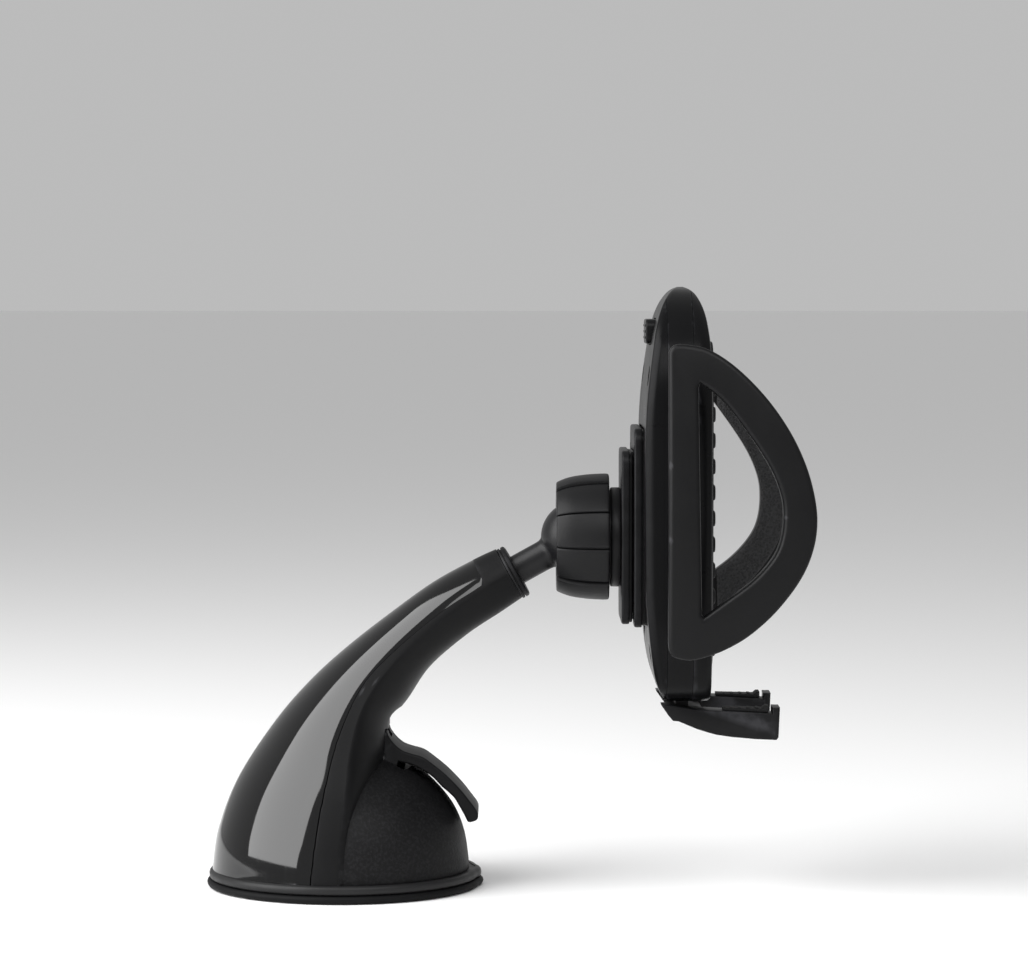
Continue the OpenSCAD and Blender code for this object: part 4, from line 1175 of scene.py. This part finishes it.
def arm_pad(name, node, body, side):
    """Foam strip on an arm's inner face: crowned, with soft rims, thicker in its middle."""
    cx, cz = LOOP_MIDDLE
    line = moved(spline(ARM_OUTER, 6), *ARM_CORNER)
    drawn_in = [(lerp(cx, x, 0.955), lerp(cz, z, 0.955)) for x, z in line]
    outer = star_outline(drawn_in, 240)
    inner = star_outline(moved(spline(ARM_INNER, 6), *ARM_CORNER), 240)
    start = box_mm(node)[0].x
    pairs = [(o, i) for o, i in zip(outer, inner) if o[0] > start + 0.4 and i[0] > start - 0.6]
    pairs.sort(key=lambda p: math.atan2(p[0][1] - LOOP_MIDDLE[1], p[0][0] - LOOP_MIDDLE[0]))
    rings = []
    last = len(pairs) - 1
    for k, (o, i) in enumerate(pairs):
        from_end = min(1, min(k, last - k) / 4)
        ends = math.sqrt(max(0.02, 1 - (1 - from_end) ** 2))
        ring = []
        for j in range(17):
            across = j / 16
            crown = max(0.0, 1 - abs(2 * across - 1) ** 6) ** 0.5
            share = lerp(0.03, 0.97, across)
            x, z = lerp(i[0], o[0], share), lerp(i[1], o[1], share)
            depth = 0.55 + 0.95 * crown * ends
            ring.append((x, side * (ARM_IN - depth), z))
        for j in range(16, -1, -4):
            share = lerp(0.03, 0.97, j / 16)
            ring.append((lerp(i[0], o[0], share), side * (ARM_IN - 0.02), lerp(i[1], o[1], share)))
        rings.append(ring)
    obj = make_object(name, *tube(rings))
    piece(obj, body, "foam", "foam", node, angle=60)


# ---------------------------------------------------------------- foot

FOOT = [
    (0, 8), (1.6, 5.7), (2.7, 4.4), (4, 4.3), (6.1, 3.4), (8.3, 2.5), (10.5, 1.8), (12.7, 1.2),
    (16.1, 0.7), (21.7, 0.2), (26.5, 0), (27, 0.6), (27.3, 7.5), (25.6, 7.5), (25.6, 6), (25.2, 6),
    (25, 6.2), (16.1, 6.6), (7.7, 7.1), (2.1, 8),
]
FOOT_LOW, FOOT_HIGH = box_mm("foot_bracket")
FOOT_CORNER = (FOOT_LOW.x, FOOT_LOW.z)
PRONG = (FOOT_HIGH.y - 7.5, FOOT_HIGH.y)


def foot():
    """Foot: two prongs on a cross piece, with the plate that slides into the body."""
    obj = None
    for side in (-1, 1):
        low, high = sorted((side * PRONG[0], side * PRONG[1]))
        outline = moved(FOOT, *FOOT_CORNER)
        solid = rounded_prism(outline, "y", low, high, 0.3, 0.3, steps=3)
        prong = make_object("foot_prongs", *solid)
        obj = prong if obj is None else solid_op(obj, prong, "UNION")
    web = moved([(1.1, 7.4), (2.7, 4.8), (6.1, 3.6), (10.1, 2.4), (10.1, 5.6), (6.1, 6.4),
                 (6.1, 7.4)], *FOOT_CORNER)
    join(obj, rounded_prism(web, "y", -13, 13, 0.05, 0.05))
    plate = moved([(3.4, 4.8), (6.5, 4.8), (6.5, 29.8), (3.4, 29.8)], *FOOT_CORNER)
    join(obj, rounded_prism(plate, "y", -14, 14, 0.3, 0.3))
    for y in (-7, 7):
        slot = [(y + a, z) for a, z in round_rect(2, FOOT_LOW.z + 13.8, FOOT_HIGH.z - 4, 1.9)]
        cut(obj, prism_cutter(slot, "x", 76, 82))
    piece(obj, "foot", "arm", "matte_black", "foot_bracket", angle=35)


def foot_pads():
    """Rubber pads on the prongs, with cross ribs."""
    corner = box_mm("foot_pads")[0]
    line = moved([(0, 0.47), (10.4, 0), (10.4, 1.42), (9.7, 1.42), (9, 0.82), (0, 1.02)],
                 corner.x, corner.z)
    for side, name in ((-1, "foot_pad_near"), (1, "foot_pad_far")):
        low, high = sorted((side * (PRONG[0] + 1), side * (PRONG[1] - 1)))
        obj = make_object(name, *rounded_prism(line, "y", low, high, 0.12, 0.12))
        for k in range(4):
            rib = moved([(0, 0.62), (0.8, 0.62), (0.7, 1.02), (0.1, 1.02)],
                        corner.x + 1.4 + 2 * k, corner.z)
            solid = rounded_prism(rib, "y", low + 0.6, high - 0.6, 0.1, 0.1)
            join(obj, solid)
        piece(obj, "foot", "rubber", "soft_rubber", "foot_pads", angle=40)


housing()
cover()
base_rubber()
diaphragm()
stem_spring()
lever()
lever_pin()
ball_and_rod()
collar()
clamp_nut()
socket()
mount_plate()
rail_block()
back_cover()
body_frame()
front_panel()
front_pad()
button()
side_arm("arm_loop_near", "arm_near", "near_arm", -1, GUIDE_NEAR)
side_arm("arm_loop_far", "arm_far", "far_arm", 1, GUIDE_FAR)
arm_pad("foam_near", "arm_pad_near", "near_arm", -1)
arm_pad("foam_far", "arm_pad_far", "far_arm", 1)
foot()
foot_pads()


# ---------------------------------------------------------------- stage, light and camera

FLOOR_HALF = 30
FLOOR_GAP = 0.0002
PALE = (0.92, 0.92, 0.92, 1)
ROOM_LIGHT = 0.5


def stage_floor():
    """Plain pale matt floor just under the object."""
    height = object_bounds()[0].z - FLOOR_GAP
    corners = [(-1, -1), (1, -1), (1, 1), (-1, 1)]
    verts = [(x * FLOOR_HALF, y * FLOOR_HALF, height) for x, y in corners]
    floor = make_object("floor", verts, [(0, 1, 2, 3)], 1)
    material, tree, shader = node_material("pale_floor")
    shader.inputs["Base Color"].default_value = PALE
    shader.inputs["Roughness"].default_value = 0.9
    shader.inputs["Specular IOR Level"].default_value = 0.2
    floor.data.materials.append(material)


def studio_world():
    """Even pale room light from all round."""
    world = bpy.data.worlds.new("studio")
    bpy.context.scene.world = world
    world.use_nodes = True
    background = world.node_tree.nodes["Background"]
    background.inputs["Color"].default_value = (1, 1, 1, 1)
    background.inputs["Strength"].default_value = ROOM_LIGHT


def softbox(name, place_at, aim, width, height, radiance):
    """Rectangular area light aimed at a point; radiance sets how bright it looks."""
    data = bpy.data.lights.new(name, "AREA")
    data.shape = "RECTANGLE"
    data.size = width
    data.size_y = height
    data.energy = radiance * width * height * math.pi
    lamp = bpy.data.objects.new(name, data)
    bpy.context.scene.collection.objects.link(lamp)
    lamp.location = place_at
    direction = Vector(aim) - Vector(place_at)
    lamp.rotation_euler = direction.to_track_quat("-Z", "Y").to_euler()
    lamp.visible_camera = False


CAMERA_AT = (0.040, -0.9, 0.1388)
CAMERA_TILT = 2.91
CAMERA_LENS = 134.56
SENSOR = 36
# name, place, aim, width, height in metres, and radiance of each softbox
SOFTBOXES = [
    ("key", (-0.60, -0.28, 0.46), (0, 0, 0.07), 0.8, 0.95, 5.5),
    ("front_top", (0.13, -0.34, 0.36), (0.09, 0, 0.12), 0.3, 0.2, 4.0),
]


def product_camera():
    """Camera level with the cradle and tilted a little down, looking along +Y."""
    data = bpy.data.cameras.new("camera")
    data.sensor_width = SENSOR
    data.lens = CAMERA_LENS
    data.clip_start = 0.01
    data.clip_end = 100
    camera = bpy.data.objects.new("camera", data)
    bpy.context.scene.collection.objects.link(camera)
    camera.location = CAMERA_AT
    camera.rotation_euler = (math.radians(90 - CAMERA_TILT), 0, 0)
    bpy.context.scene.camera = camera


studio_world()
stage_floor()
product_camera()
for row in SOFTBOXES:
    softbox(*row)
bpy.context.scene.view_settings.view_transform = "Standard"
bpy.context.scene.view_settings.look = "None"
